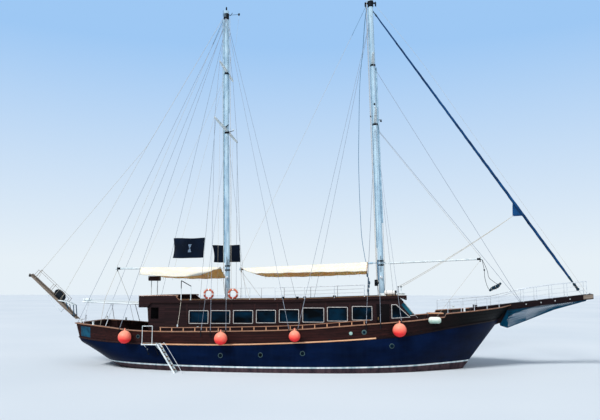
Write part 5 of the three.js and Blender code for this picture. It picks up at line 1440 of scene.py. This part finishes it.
def fenders():
    for n, (x, z, r) in enumerate(FENDERS, 1):
        node = "ball_fender_%d" % n
        centre = Vector((x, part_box(node)[0].y + r, z))
        half, cap = cap_at(x)
        profile = [(0.5 - 0.5 * math.cos(a), r * 0.995 * math.sin(a) * (1 + 0.02 * math.cos(a)))
                   for a in span(0, math.pi, 16)]
        ball = lathe(centre - UP * (r * 0.995), centre + UP * (r * 0.97), profile, 32)
        made = piece("fender_ball_%d" % n, [ball], [CORAL], "boat", [node], angle=80)
        neck = centre + UP * (r * 0.955)
        eye = neck + UP * 0.085
        parts = Parts([lathe(neck, eye, [(0, 0.05), (0.3, 0.034), (1, 0.026)], 16)])
        parts.add(tube(hoop(eye + UP * 0.01, (0.03, 0, 0), (0, 0, 0.03), 12), 0.012, 6, True))
        line = [eye]
        for out, up in ((0.02, -0.07), (0.018, 0), (-0.02, 0.012), (-0.15, 0.012), (-0.178, -0.02)):
            line.append((x, -(half + out), cap + up))
        line.append((x + 0.02, -(half - 0.2), cap - 0.3))
        parts.add(tube(line, 0.009, 6), 1)
        parts.add(lathe(centre - UP * r, centre - UP * (r * 0.965), [(0, 0.03), (1, 0.06)], 12))
        piece("fender_line_%d" % n, parts, [CORAL, ROPE])
    r = 0.185
    y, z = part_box("long_fender")[0].y + r, 3.06
    cap_end = [(0, 0.0), (0.01, 0.07), (0.05, 0.13), (0.13, 0.178), (0.2, 0.184)]
    profile = cap_end + [(1 - share, out) for share, out in reversed(cap_end)]
    made = piece("long_fender_body", [lathe((7.72, y, z), (8.44, y, z), profile, 28)], [WHITE_VINYL], "boat",
                 ["long_fender"], angle=60)
    parts = Parts()
    for x in (7.86, 8.3):
        half, cap = cap_at(x)
        parts.add(tube(hoop((x, y, z), (0, 0.19, 0), (0, 0, 0.19), 24), 0.009, 6, True))
        line = [(x, y, z + 0.19), (x, -(half + 0.012), cap - 0.03), (x, -(half - 0.02), cap + 0.012),
                (x, -(half - 0.15), cap + 0.012)]
        parts.add(tube(line, 0.009, 6))
    piece("long_fender_lines", parts, [ROPE])


def lifebuoys():
    ring, tube_r, sides, around = 0.265, 0.068, 14, 56
    for n, x in enumerate((-5.37, -3.86), 1):
        z = roof_top(x)
        centre = Vector((x, -2.33, z + 0.363))
        rings = []
        for i, a in enumerate(turns(around)):
            out = Vector((math.cos(a), 0, math.sin(a)))
            r = tube_r * (1.045 if i % sides in (0, 1) else 1.0)
            rings.append([centre + out * ring + (out * math.cos(t) * 0.9 + ACROSS * math.sin(t)) * r
                          for t in turns(sides)])
        verts, faces = skin(rings + rings[:1], ends=False)
        plain, banded = [], []
        for index, face in enumerate(faces):
            (banded if (index // sides) % 14 in (0, 13) else plain).append(face)
        made = piece("lifebuoy_ring_%d" % n, [(verts, plain, 0), (verts, banded, 1)], [ORANGE, CORK], "boat",
                     ["lifebuoy_%d" % n], angle=60)
        parts = Parts()
        for q in range(4):
            line = []
            for k in range(9):
                a = math.pi / 2 * q + 0.14 + (math.pi / 2 - 0.28) * k / 8
                bow = ring + tube_r * 0.92 + 0.014 + 0.03 * math.sin(math.pi * k / 8)
                line.append(centre + Vector((math.cos(a) * bow, 0, math.sin(a) * bow)))
            parts.add(tube(line, 0.006, 5))
        for px in (x - 0.1, x + 0.1):
            parts.add(block(px - 0.012, px + 0.012, -2.35, -2.31, z + 0.001, z + 0.06), 1)
        piece("lifebuoy_line_%d" % n, parts, [ROPE, STEEL])


# Rigging

def cap_point(x, side, inset=-0.02):
    half, z = cap_at(x)
    return Vector((x, side * (half - inset), z - 0.03))


def lower_shrouds():
    parts = Parts()
    for side in SIDES.values():
        for mast, z, dx, feet in ((FOREMAST, 15.1, -0.05, (6.2, 4.18)),
                                  (MAINMAST, 14.9, 0.05, (-5.47, -3.97))):
            head = Vector((mast_x(mast, z), side * 0.16, z))
            for start, foot in zip((head, head + Vector((dx, 0, 0))), feet):
                parts.add(tube([start, cap_point(foot, side)], 0.009, 6))
    piece("lower_shrouds", parts, [WIRE])


def running_rigging():
    parts = Parts()
    # Halyards close to the masts
    for mast, dx, y, high, low in ((FOREMAST, -0.3, 0.1, 23.9, 5.4), (FOREMAST, -0.26, -0.12, 23.9, 5.2),
                                   (FOREMAST, 0.24, 0.1, 19.2, 5.3), (MAINMAST, -0.28, 0.1, 23.2, 5.2),
                                   (MAINMAST, -0.24, -0.1, 19.0, 5.4), (MAINMAST, 0.24, 0.0, 23.2, 5.0)):
        points = [(mast_x(mast, z) + dx, y, z) for z in (high, low)]
        parts.add(tube(points, 0.012, 6))
        parts.add(tube([points[1], (mast_x(mast, low - 0.7) + dx * 0.75, y * 0.8, low - 0.7)], 0.012, 6))
    # The heavy halyard that bows aft from the foremast's head
    bow = [(4.5, 23.5), (4.35, 22.49), (4.19, 20.55), (3.97, 18.23), (3.87, 15.12), (3.83, 12.47),
           (3.94, 8.56), (4.13, 6.96), (4.24, 6.39), (4.3, 5.75)]
    line = curve_through([(x, -0.06, z) for x, z in bow])
    parts.add(tube(line, [0.03 - 0.012 * min(k / 16, 1) for k in range(len(line))], 8), 1)
    # Knots and a coil hanging at its foot
    for x, z, r in ((4.3, 5.68, 0.06), (4.36, 5.42, 0.05), (4.4, 5.2, 0.075), (4.38, 4.98, 0.06),
                    (4.33, 4.72, 0.07), (4.36, 4.5, 0.04)):
        parts.add(post(x, -0.05, z - 0.13, z + 0.13, [(0, 0.02), (0.3, r), (0.7, r), (1, 0.02)], 10), 1)
    # A dark strap down the mast's after face
    strap = [(mast_x(FOREMAST, z) - mast_r(FOREMAST, z) - 0.01, -0.07, z) for z in (6.65, 6.0, 5.35)]
    parts.add(tube(strap, 0.045, 8), 1)
    # Lines down from the lower spreaders and from the mainmast's vane
    for side in SIDES.values():
        foot = (mast_x(MAINMAST, 9) - 0.2, side * 1.6, roof_top(-5.0) + 0.02)
        parts.add(tube([(mast_x(MAINMAST, 15.3), side * 2.0, 15.27), foot], 0.006, 6))
    top = mast_x(MAINMAST, 23.7)
    vane = [(top + 0.88, 0, 23.4), (top + 0.7, 0, 21.4), (mast_x(MAINMAST, 19.6) + 0.12, 0, 19.6)]
    parts.add(tube(vane, 0.004, 5))
    spare = [(5.0, 0, 23.7), (7.9, 0, 19.74), (11.2, 0, 14.57), (17.62, 0, beam_top(17.62) + 0.02)]
    parts.add(tube(curve_through(spare, 8), 0.006, 6))
    piece("halyards", parts, [ROPE, ROPE_SHADE_BLUE])
    # A rope from the roof's edge to the rail, made fast there with a white fitting
    half, z = cap_at(-6.95)
    end = Vector((-6.95, -(half - RAIL_IN), z + 0.24))
    fast = Parts([tube([(-7.07, -2.44, 4.05), (-7.0, -2.9, 3.4), end], 0.014, 6)])
    fast.add(lathe(end - UP * 0.005, end + UP * 0.16, [(0, 0.03), (0.4, 0.045), (1, 0.02)], 10), 1)
    piece("house_rope", fast, [ROPE, WHITE])


def line(name, points, body, other, start, end, r=0.008, look=ROPE):
    """A line through the points, baked in place on no body; start and end are where it begins and ends, and
    nothing makes it follow the other
    """
    made = new_object(name, *tube(points, r, 6), [look])
    tuple(start)
    tuple(end)
    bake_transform(made)


def steps(p, q, count=16):
    return [p + (q - p) * (i / count) for i in range(count + 1)]


def topping_lift(name, spec, head, out, share, r):
    """To the boom's end, with a pendant for the upper share of it"""
    tip = Vector(spec["end"]) + Vector((out, 0, 0.08))
    blocked = head + (tip - head) * share
    line(name + "_lift_pendant", steps(head, blocked, 6), "boat", name + "_boom", head, tip, r, ROPE_SHADE_BLUE)
    line(name + "_topping_lift", steps(blocked, tip, 24), "boat", name + "_boom", head, tip)


def main_boom_lines():
    """The topping lift, the sheets, and the lines that hold up the boom's middle"""
    head = Vector((mast_x(MAINMAST, 23.35) - 0.12, 0, 23.3))
    topping_lift("main", MAIN_BOOM, head, 0.06, 0.115, 0.017)
    for n, side in enumerate(SIDES.values(), 1):
        start = Vector(MAIN_BOOM["end"]) + Vector((0.1, 0, -0.08))
        # Outside the stern awning's edge, then down to the rail
        knee = Vector((-12.1, side * 1.96, 4.2))
        low = cap_point(-12.0, side, 0.1) + UP * 0.04
        path = steps(start, knee, 12) + steps(knee, low, 8)[1:]
        line("main_sheet_%d" % n, path, "main_boom", "boat", start, knee, 0.012)
    head = Vector((mast_x(MAINMAST, 19.0) - 0.14, 0, 19.0))
    for n, share in enumerate((0.45, 0.75), 1):
        x = -5.0 + (MAIN_BOOM["end"][0] + 5.0) * share
        spot = Vector((x, 0, boom_z(MAIN_BOOM, MAINMAST, x) + 0.085))
        line("main_lazy_lift_%d" % n, steps(head, spot), "boat", "main_boom", head, spot, 0.006)


def fore_boom_lines():
    """The topping lift and the sheets"""
    head = Vector((mast_x(FOREMAST, 23.9) - 0.14, 0, 23.9))
    topping_lift("fore", FORE_BOOM, head, 0.05, 0.13, 0.014)
    for n, side in enumerate(SIDES.values(), 1):
        start = Vector(FORE_BOOM["end"]) + Vector((0.08, 0, -0.075))
        low = Vector((-2.85, side * 2.1, roof_top(-2.85) + 0.03))
        line("fore_sheet_%d" % n, steps(start, low), "fore_boom", "boat", start, low)


def derrick_lines():
    """A lift from the lower spreader, and a guy down to the deck"""
    end = Vector(DERRICK["end"])
    head, tip = Vector((mast_x(FOREMAST, 15.0) + 0.19, 0, 15.0)), end + Vector((-0.05, 0, 0.07))
    line("derrick_lift", steps(head, tip), "boat", "derrick_boom", head, tip)
    start, low = end + Vector((-0.08, 0, -0.06)), cap_point(8.2, -1, 0.02) + UP * 0.04
    line("derrick_guy", steps(start, low), "derrick_boom", "boat", start, low)


# The gangway's hinge, and its directions outwards and upwards
GANGWAY_HINGE = Vector((-14.01, -1.5, 2.9))
GANGWAY_RISE = math.radians(40.6)
GANGWAY_OUT = Vector((-math.cos(GANGWAY_RISE), 0, math.sin(GANGWAY_RISE)))
GANGWAY_UP = Vector((math.sin(GANGWAY_RISE), 0, math.cos(GANGWAY_RISE)))


def on_gangway(out, y, up):
    return GANGWAY_HINGE + GANGWAY_OUT * out + ACROSS * y + GANGWAY_UP * up


def gangway_lines():
    """A lift that forks to the gangway's middle and to a bridle at its end, and a guy"""
    head = Vector((mast_x(MAINMAST, 23.3) - 0.14, 0, 23.35))
    fork, apex = Vector((-10.11, -0.68, 14.26)), Vector((-16.54, -1.5, 6.07))
    middle = on_gangway(1.62, -0.2, 0.05)
    turn = fork + (apex - fork) * 0.3
    bodies = ("boat", "passerelle")
    line("gangway_lift", steps(head, fork, 12), *bodies, turn, apex, 0.011)
    bend = fork + (middle - fork) * 0.3
    line("gangway_lift_middle", steps(fork, middle, 24), *bodies, bend, middle, 0.009)
    line("gangway_lift_end", steps(fork, apex, 24), *bodies, turn, apex, 0.009)
    for n, side in enumerate(SIDES.values(), 1):
        spot = on_gangway(3.9, side * 0.21, 0.03)
        line("gangway_bridle_%d" % n, steps(apex, spot, 4), *bodies, turn, apex, 0.009)
    low, spot = Vector((-13.95, -0.9, cap_at(-13.5)[1] - 0.1)), on_gangway(3.7, 0.21, -0.03)
    line("gangway_guy", steps(low, spot), *bodies, low, spot, 0.006)


def boom_fittings():
    for name, spec, ahead, slope, body, look in (("main_boom", MAIN_BOOM, -1, 0, "main_boom", BLACK_PAINT),
                                                 ("fore_boom", FORE_BOOM, -1, 1, "fore_boom", WEATHERED),
                                                 ("derrick", DERRICK, 1, 1, "derrick_boom", BLACK_PAINT)):
        end = Vector(spec["end"])
        r = spec["r"] + 0.012
        fall = slope * (end.z - spec["z"]) / (end.x - boom_pin(spec, FOREMAST, ahead))
        parts = Parts([lathe(end - Vector((1, 0, fall)) * ahead * 0.32, end,
                       [(0, r - 0.01), (0.06, r), (0.94, r), (1, r - 0.012)])])
        for up in (-1, 1):
            low = end + Vector((-ahead * 0.12, 0, up * (r - 0.01)))
            parts.add(tube([low, low + UP * (up * 0.045)], 0.016, 8))
        hang = end + Vector((-ahead * 0.12, 0, -r - 0.07))
        sheave = [(0, 0.03), (0.3, 0.045), (0.7, 0.045), (1, 0.03)]
        parts.add(lathe(hang - ACROSS * 0.025, hang + ACROSS * 0.025, sheave, 12))
        piece(name + "_end_gear", parts, [look], body)


def derrick_load():
    """Folded sails stay on the line that hangs from the forward boom"""
    slings = [((11.43, 6.62), (11.54, 5.99), (11.56, 5.5), (11.7, 4.95), (11.86, 4.72)),
              ((11.45, 6.62), (11.72, 5.95), (11.8, 5.54), (12.04, 5.3), (12.3, 5.12))]
    parts = Parts([tube(curve_through([(x, 0, z) for x, z in sling], 5), 0.014, 6) for sling in slings])
    parts.add(post(11.54, 0, 6.05, 5.93, [(0, 0.02), (0.3, 0.05), (0.7, 0.05), (1, 0.02)], 10))
    piece("derrick_slings", parts, [DARK_ROPE], "derrick_boom")
    count = 18
    middle = [Vector((11.82 + 0.71 * t, 0.03 * math.sin(9 * t), 4.7 + 0.47 * t + 0.03 * math.sin(7 * t)))
              for t in span(0, 1, count)]
    radii = [0.03 + 0.085 * math.sin(math.pi * min(max(k / count, 0.03), 0.97)) ** 0.5 * (1
            + 0.25 * math.sin(2.3 * k)) for k in range(count + 1)]
    roll = piece("staysail_bundle", [tube(middle, radii, 14)], [DARK_SAIL], "derrick_boom",
                 angle=70)
    ties = Parts()
    for k in (3, 9, 15):
        r = radii[k] * 1.05
        ties.add(tube(hoop(middle[k], (0, r, 0), (0.4 * r, 0, -0.9 * r), 12), 0.009, 6, True))
    piece("bundle_ties", ties, [ROPE], "derrick_boom")


# Hull side and stern

def row_through(x, z):
    """The hull's row whose leaning frame passes x at this z"""
    row = Row(x)
    for _ in range(3):
        row = Row(x - row.lean * (z - row.deck))
    return row


def hull_y(x, z):
    """Half breadth of the hull below the deck edge"""
    row = row_through(x, z)
    t = (z - row.rabbet) / (row.deck - row.rabbet)
    return KEEL_HALF + (row.half - KEEL_HALF) * (1 - (1 - t) ** row.full)


def wall_y(x, z):
    """Half breadth of the bulwark"""
    row = row_through(x, z)
    return row.half + (row.rail_half - row.half) * (z - row.deck) / (row.rail - row.deck)


def portholes():
    parts = Parts()
    for x, z, wall, r, rim in ((-4.3, 0.98, hull_y, 0.11, 0.035), (-1.93, 1.04, hull_y, 0.11, 0.035),
                               (0.52, 1.15, hull_y, 0.11, 0.035), (5.63, 1.59, hull_y, 0.11, 0.035),
                               (-9.39, 2.01, wall_y, 0.08, 0.035), (4.06, 2.37, wall_y, 0.08, 0.07)):
        frame_ring = [(0, r + rim), (0.7, r + rim * 0.9), (0.9, r + rim * 0.7), (1, r + 0.006)]
        for side in SIDES.values():
            here = Vector((x, side * wall(x, z), z))
            aft = (Vector((x + 0.05, side * wall(x + 0.05, z), z)) - here).normalized()
            above = Vector((x, side * wall(x, z + 0.05), z + 0.05)) - here
            out = aft.cross(above).normalized()
            if out.y * side < 0:
                out = -out
            parts.add(lathe(here - out * 0.012, here + out * 0.022, frame_ring, 28))
            parts.add(lathe(here + out * 0.0225, here + out * 0.024, disc(r), 28), 1)
            for t in turns(6):
                bolt = here + (aft * math.cos(t) + out.cross(aft) * math.sin(t)) * (r + 0.02)
                parts.add(lathe(bolt + out * 0.018, bolt + out * 0.027, [(0, 0.008), (1, 0.005)], 8))
    for side in SIDES.values():
        y = wall_y(3.3, 2.3)
        cover = [(0, 0.1), (0.6, 0.1), (1, 0.07)]
        parts.add(pin(3.3, side * (y - 0.01), side * (y + 0.03), 2.3, cover, 24), 2)
        # Scuppers
        for x in (-11.6, -9.0, -5.2, -0.9, 2.1, 7.3):
            z = Row(x).deck + 0.17
            parts.add(scupper(x, side, wall_y(x, z), z), 3)
    piece("portholes", parts, [GREY_GREEN, GLASS, MINT, BLACK_PAINT], angle=30)


def scupper(x, side, y, z):
    """A small oval plate on the bulwark"""
    rings = []
    for out, grow in ((-0.004, 1.0), (0.008, 1.0), (0.012, 0.85), (0.004, 0.6), (0.003, 0.1)):
        rings.append(hoop((x, side * (y + out), z), (0.085 * grow, 0, 0), (0, 0, 0.032 * grow), 20))
    return skin(rings)


def stern_details():
    parts = Parts()
    base, top, _ = next(f for f in wall_frames() if f[0][0] <= STATIONS[0][0] + 1e-6)
    # Raised panels on the transom
    for y0, y1 in ((-1.9, -0.72), (-0.6, 0.6), (0.72, 1.9)):
        rings = []
        for s in (0.22, 0.8):
            x, z = base[0] + (top[0] - base[0]) * s, base[2] + (top[2] - base[2]) * s
            rings.append([(x - 0.001, y0, z), (x - 0.014, y0 + 0.02, z), (x - 0.014, y1 - 0.02, z),
                          (x - 0.001, y1, z)])
        parts.add(skin(rings))
    # Bollards
    z = cap_at(-13.6)[1]
    bollard = [(0, 0.075), (0.1, 0.075), (0.16, 0.05), (0.7, 0.045), (0.8, 0.07), (0.95, 0.07), (1, 0.03)]
    for side in SIDES.values():
        parts.add(post(-13.6, side * 1.95, z - 0.002, z + 0.24, bollard, 14), 3)
    # The gangway's winch post at the rail
    z = cap_at(-13.7)[1]
    winch = [(0, 0.07), (0.06, 0.07), (0.1, 0.035), (0.9, 0.035), (0.94, 0.06), (1, 0.05)]
    parts.add(post(-13.72, -1.08, z - 0.002, z + 0.42, winch, 14), 2)
    # A painted panel on each quarter
    for side in SIDES.values():

        def panel(x):
            z0, z1 = Row(x).deck + 0.16, Row(x).rail - 0.12
            corners = [(z0, 0.001), (z0, 0.007), (z1, 0.007), (z1, 0.001)]
            return [(side * (wall_y(x, z) + out), z) for z, out in corners]

        parts.add(swept(span(-13.42, -12.68, 5), panel), 4)
    piece("stern_gear", parts, [JOINERY, WALE, STEEL, WHITE, TEAL], bevel=0.003)


def passerelle_details():
    at = on_gangway
    parts = Parts()
    a = 0.35
    while a < 4.25:
        parts.add(slab([at(a, -0.17, 0.036), at(a, 0.17, 0.036), at(a + 0.1, 0.17, 0.036),
                        at(a + 0.1, -0.17, 0.036)], GANGWAY_UP * 0.014))
        a += 0.13
    for side in SIDES.values():
        y = side * 0.205
        parts.add(tube([at(0.3, y, 0.0), at(4.32, y, 0.0)], 0.03, 10), 1)
        parts.add(lathe(at(4.2, y, 0.0), at(4.38, y, 0.0), [(0, 0.036), (0.8, 0.036), (1, 0.02)], 12), 2)
        parts.add(lathe(at(0.24, y, 0.0), at(0.5, y, 0.0), disc(0.036), 12), 2)
        parts.add(tube([at(1.0, side * 0.13, -0.05), at(3.2, side * 0.13, -0.05)], 0.022, 8), 1)
    roller = [(0, 0.06), (0.1, 0.07), (0.9, 0.07), (1, 0.06)]
    parts.add(lathe(at(4.33, -0.16, -0.08), at(4.33, 0.16, -0.08), roller, 18), 2)
    # A stepped frame over its inner end, and a boathook slung below
    for side in SIDES.values():
        for path, r, look in ((((1.78, 0.05), (1.3, 0.34), (0.8, 0.5)), 0.032, 3),
                              (((0.8, 0.5), (0.28, 0.02)), 0.03, 4),
                              (((1.3, 0.34), (0.84, 0.03)), 0.022, 4)):
            parts.add(tube([at(a, side * 0.19, h) for a, h in path], r, 8), look)
    for a, h in ((0.86, 0.49), (1.08, 0.43), (1.3, 0.35), (1.54, 0.21)):
        step = [at(a - 0.05, -0.2, h), at(a - 0.05, 0.2, h), at(a + 0.05, 0.2, h - 0.01),
                at(a + 0.05, -0.2, h - 0.01)]
        parts.add(slab(step, GANGWAY_UP * 0.025), 3)
    parts.add(tube([at(3.03, -0.2, -0.07), at(1.08, -0.2, -0.34)], 0.013, 6), 3)
    parts.add(tube([at(1.12, -0.2, -0.33), at(1.12, -0.2, -0.02)], 0.01, 6), 2)
    piece("gangway_boards", parts, [WEATHERED, WEATHERED, BLACK_PAINT, WHITE, TEAL], "passerelle",
          bevel=0.003)
    # The ribbed black fender lashed on it
    centre = at(1.98, 0, 0.3185)
    rings = []
    for t in span(0, 1, 60):
        x = -0.438 + 0.876 * t
        rib = 1 - 0.05 * (0.5 + 0.5 * math.cos(2 * math.pi * 9 * t))
        r = math.sqrt(max(1 - (x / 0.44) ** 2, 0.0004)) * rib
        rings.append(hoop(centre + GANGWAY_OUT * x, ACROSS * (0.139 * r), GANGWAY_UP * (0.297 * r), 28))
    roll = piece("black_fender_body", [skin(rings)], [RUBBER], "passerelle", ["black_fender"],
                 angle=70)
    ties = [tube(hoop(centre + GANGWAY_OUT * x, ACROSS * 0.1332, GANGWAY_UP * 0.279, 28), 0.008, 6, True)
            for x in (-0.22, 0.22)]
    piece("black_fender_ties", ties, [ROPE], "passerelle")


def ladder_details():
    parts = Parts()
    # Non-slip boards on the platform
    for n in range(6):
        x = -8.83 + n * 0.145
        parts.add(block(x, x + 0.12, -4.12, -3.62, 1.6505, 1.662))
    for x in (-8.86, -7.97):
        parts.add(post(x, -4.13, 1.651, 1.7, [(0, 0.03), (0.6, 0.03), (1, 0.022)], 12), 1)
    # The brackets that carry it on the hull, black as painted shade under the platform
    for x in (-8.7, -8.12):
        y = -hull_y(x, 1.2)
        parts.add(tube([(x, -3.95, 1.588), (x, y - 0.01, 1.0)], 0.02, 8), 2)
        parts.add(pin(x, y + 0.01, y - 0.02, 1.0, disc(0.05), 12), 2)
    piece("platform_boards", parts, [TEAK, STEEL, BLACK_PAINT], bevel=0.002)
    turn = math.radians(57)
    down, out = Vector((math.cos(turn), 0, -math.sin(turn))), Vector((math.sin(turn), 0, math.cos(turn)))

    def at(a, y, h):
        return Vector((-7.8997, y, 1.62)) + down * a + out * h

    handrail = ((0.1, 0.03), (0.14, 0.3), (0.3, 0.42), (2.2, 0.42), (2.42, 0.3), (2.45, 0.03))
    rails = Parts([tube(curve_through([at(a, -4.17, h) for a, h in handrail], 4), 0.015, 8)])
    for n in range(8):
        a = 0.28 + n * 0.29
        corners = [(a - 0.045, -4.12), (a - 0.045, -3.69), (a + 0.045, -3.69), (a + 0.045, -4.12)]
        rails.add(slab([at(b, y, 0.02) for b, y in corners], out * 0.012), 1)
    piece("ladder_treads", rails, [STEEL, TEAK], "boarding_ladder", bevel=0.002)


def speaker():
    z0, z1 = 5.0, 5.4
    x = mast_x(FOREMAST, 5.2) - mast_r(FOREMAST, 5.2)
    parts = Parts([block(x - 0.25, x - 0.03, -0.13, 0.13, z0, z1)])
    parts.add(block(x - 0.256, x - 0.2495, -0.11, 0.11, z0 + 0.02, z1 - 0.02), 1)
    parts.add(block(x - 0.04, x + 0.03, -0.03, 0.03, z0 + 0.12, z0 + 0.28))
    piece("mast_speaker", parts, [BLACK_PAINT, SPEAKER_CLOTH], bevel=0.012)


def spreader_gear():
    """Lamps, a horn and brackets round the lower spreaders"""
    parts = Parts()

    def lamp(x, y, z, r, look):
        parts.add(post(x, y, z, z + r * 2, [(0, r * 0.5), (0.1, r * 0.9), (0.7, r), (1, 0.0)], 14), look)

    y = -mast_r(FOREMAST, 16.8)
    parts.add(pin(4.9, y + 0.02, y - 0.06, 16.79, [(0, 0.06), (0.8, 0.06), (1, 0.04)], 14))
    lamp(4.92, y - 0.03, 16.55, 0.05, 1)
    parts.add(block(4.6, 4.82, -0.02, 0.02, 15.96, 16.0))
    lamp(4.64, 0, 15.99, 0.045, 0)
    parts.add(block(5.0, 5.36, -0.02, 0.02, 15.74, 15.78))
    lamp(5.31, 0, 15.62, 0.06, 0)
    parts.add(lathe((-5.03, -0.2, 15.45), (-4.76, -0.2, 15.67), [(0, 0.06), (0.2, 0.035), (1, 0.03)], 12))
    parts.add(tube([(-4.9, -0.2, 15.55), (-4.9, -0.1, 15.55)], 0.02, 8))
    parts.add(tube([(-4.93, -0.1, 15.35), (-4.75, -0.08, 15.2), (-4.45, 0, 15.3)], 0.022, 8))
    lamp(-4.48, 0, 15.3, 0.05, 1)
    piece("spreader_lamps", parts, [BLACK_PAINT, WHITE], bevel=0.003)


def masts():
    mast_fittings("foremast_fittings", FOREMAST, FORE_SPREADERS, 6.45, (23.5, 23.95), (0.03, 7.4, 23.4),
                  (0.05, 9.0, 19.3))
    mast_fittings("mainmast_fittings", MAINMAST, MAIN_SPREADERS, 6.16, (23.08, 23.54), (0.065, 6.5, 23.1),
                  (0.03, 16.5, 23.1))


def boom_awnings():
    boom_awning("main_awning_cloth", MAIN_AWNING, MAIN_BOOM, MAINMAST, "main_boom", 3)
    boom_awning("fore_awning_cloth", FORE_AWNING, FORE_BOOM, FOREMAST, "fore_boom", 5)


for make in (hull_skin, bulwark, rail_cap, stanchions, side_rails, bow_rail, bow_net, bow_fittings, windlass,
             window_frames, windscreen_frames, roof_dress, roof_rail, roof_gear, roof_box, door_trim,
             lobby_locker, helm, hatch_trim, masts, mast_heads, wire_feet, boom_awnings, stern_awning, flags,
             furled_jib, fenders, lifebuoys, lower_shrouds, running_rigging, main_boom_lines, fore_boom_lines,
             derrick_lines, gangway_lines, boom_fittings, derrick_load, portholes, stern_details,
             passerelle_details, ladder_details, speaker, spreader_gear):
    make()


# Floor and lights

floor_mesh = bpy.data.meshes.new("floor")
floor_mesh.from_pydata([(-300, -300, 0), (300, -300, 0), (300, 300, 0), (-300, 300, 0)], [], [(0, 1, 2, 3)])
floor = bpy.data.objects.new("floor", floor_mesh)
floor_look = Look("floor_matt", Roughness=0.9)
floor_noise = floor_look.noise(floor_look.coords(), 0.05, 2)
floor_mesh.materials.append(floor_look.wire(
    Base_Color=floor_look.ramp(floor_noise, (0.3, (214, 222, 228)), (0.7, (224, 230, 234)))))
bpy.context.collection.objects.link(floor)


def sun(name, energy, turn, spread):
    data = bpy.data.lights.new(name, "SUN")
    data.energy = energy
    data.angle = math.radians(spread)
    light = bpy.data.objects.new(name, data)
    light.rotation_euler = [math.radians(t) for t in turn]
    bpy.context.collection.objects.link(light)


sun("key", 3.0, (48, 0, -28), 14)
sun("fill", 0.8, (60, 0, 40), 60)
bpy.context.scene.view_settings.view_transform = "Standard"
world = bpy.data.worlds.new("studio")
bpy.context.scene.world = world
world.use_nodes = True
# What the camera sees behind the boat is brighter than what lights it
nodes, links = world.node_tree.nodes, world.node_tree.links
lit = nodes["Background"]
lit.inputs[0].default_value = srgb(196, 216, 240)
lit.inputs[1].default_value = 0.42
height = nodes.new("ShaderNodeSeparateXYZ")
links.new(nodes.new("ShaderNodeTexCoord").outputs["Generated"], height.inputs[0])
backdrop = nodes.new("ShaderNodeValToRGB")
links.new(height.outputs[2], backdrop.inputs[0])
for point, place, tint in zip(backdrop.color_ramp.elements, (0.04, 0.37), ((230, 240, 247), (158, 200, 244))):
    point.position = place
    point.color = srgb(*tint)
seen = nodes.new("ShaderNodeBackground")
links.new(backdrop.outputs[0], seen.inputs[0])
choice = nodes.new("ShaderNodeMixShader")
links.new(nodes.new("ShaderNodeLightPath").outputs["Is Camera Ray"], choice.inputs[0])
links.new(lit.outputs[0], choice.inputs[1])
links.new(seen.outputs[0], choice.inputs[2])
links.new(choice.outputs[0], nodes["World Output"].inputs[0])
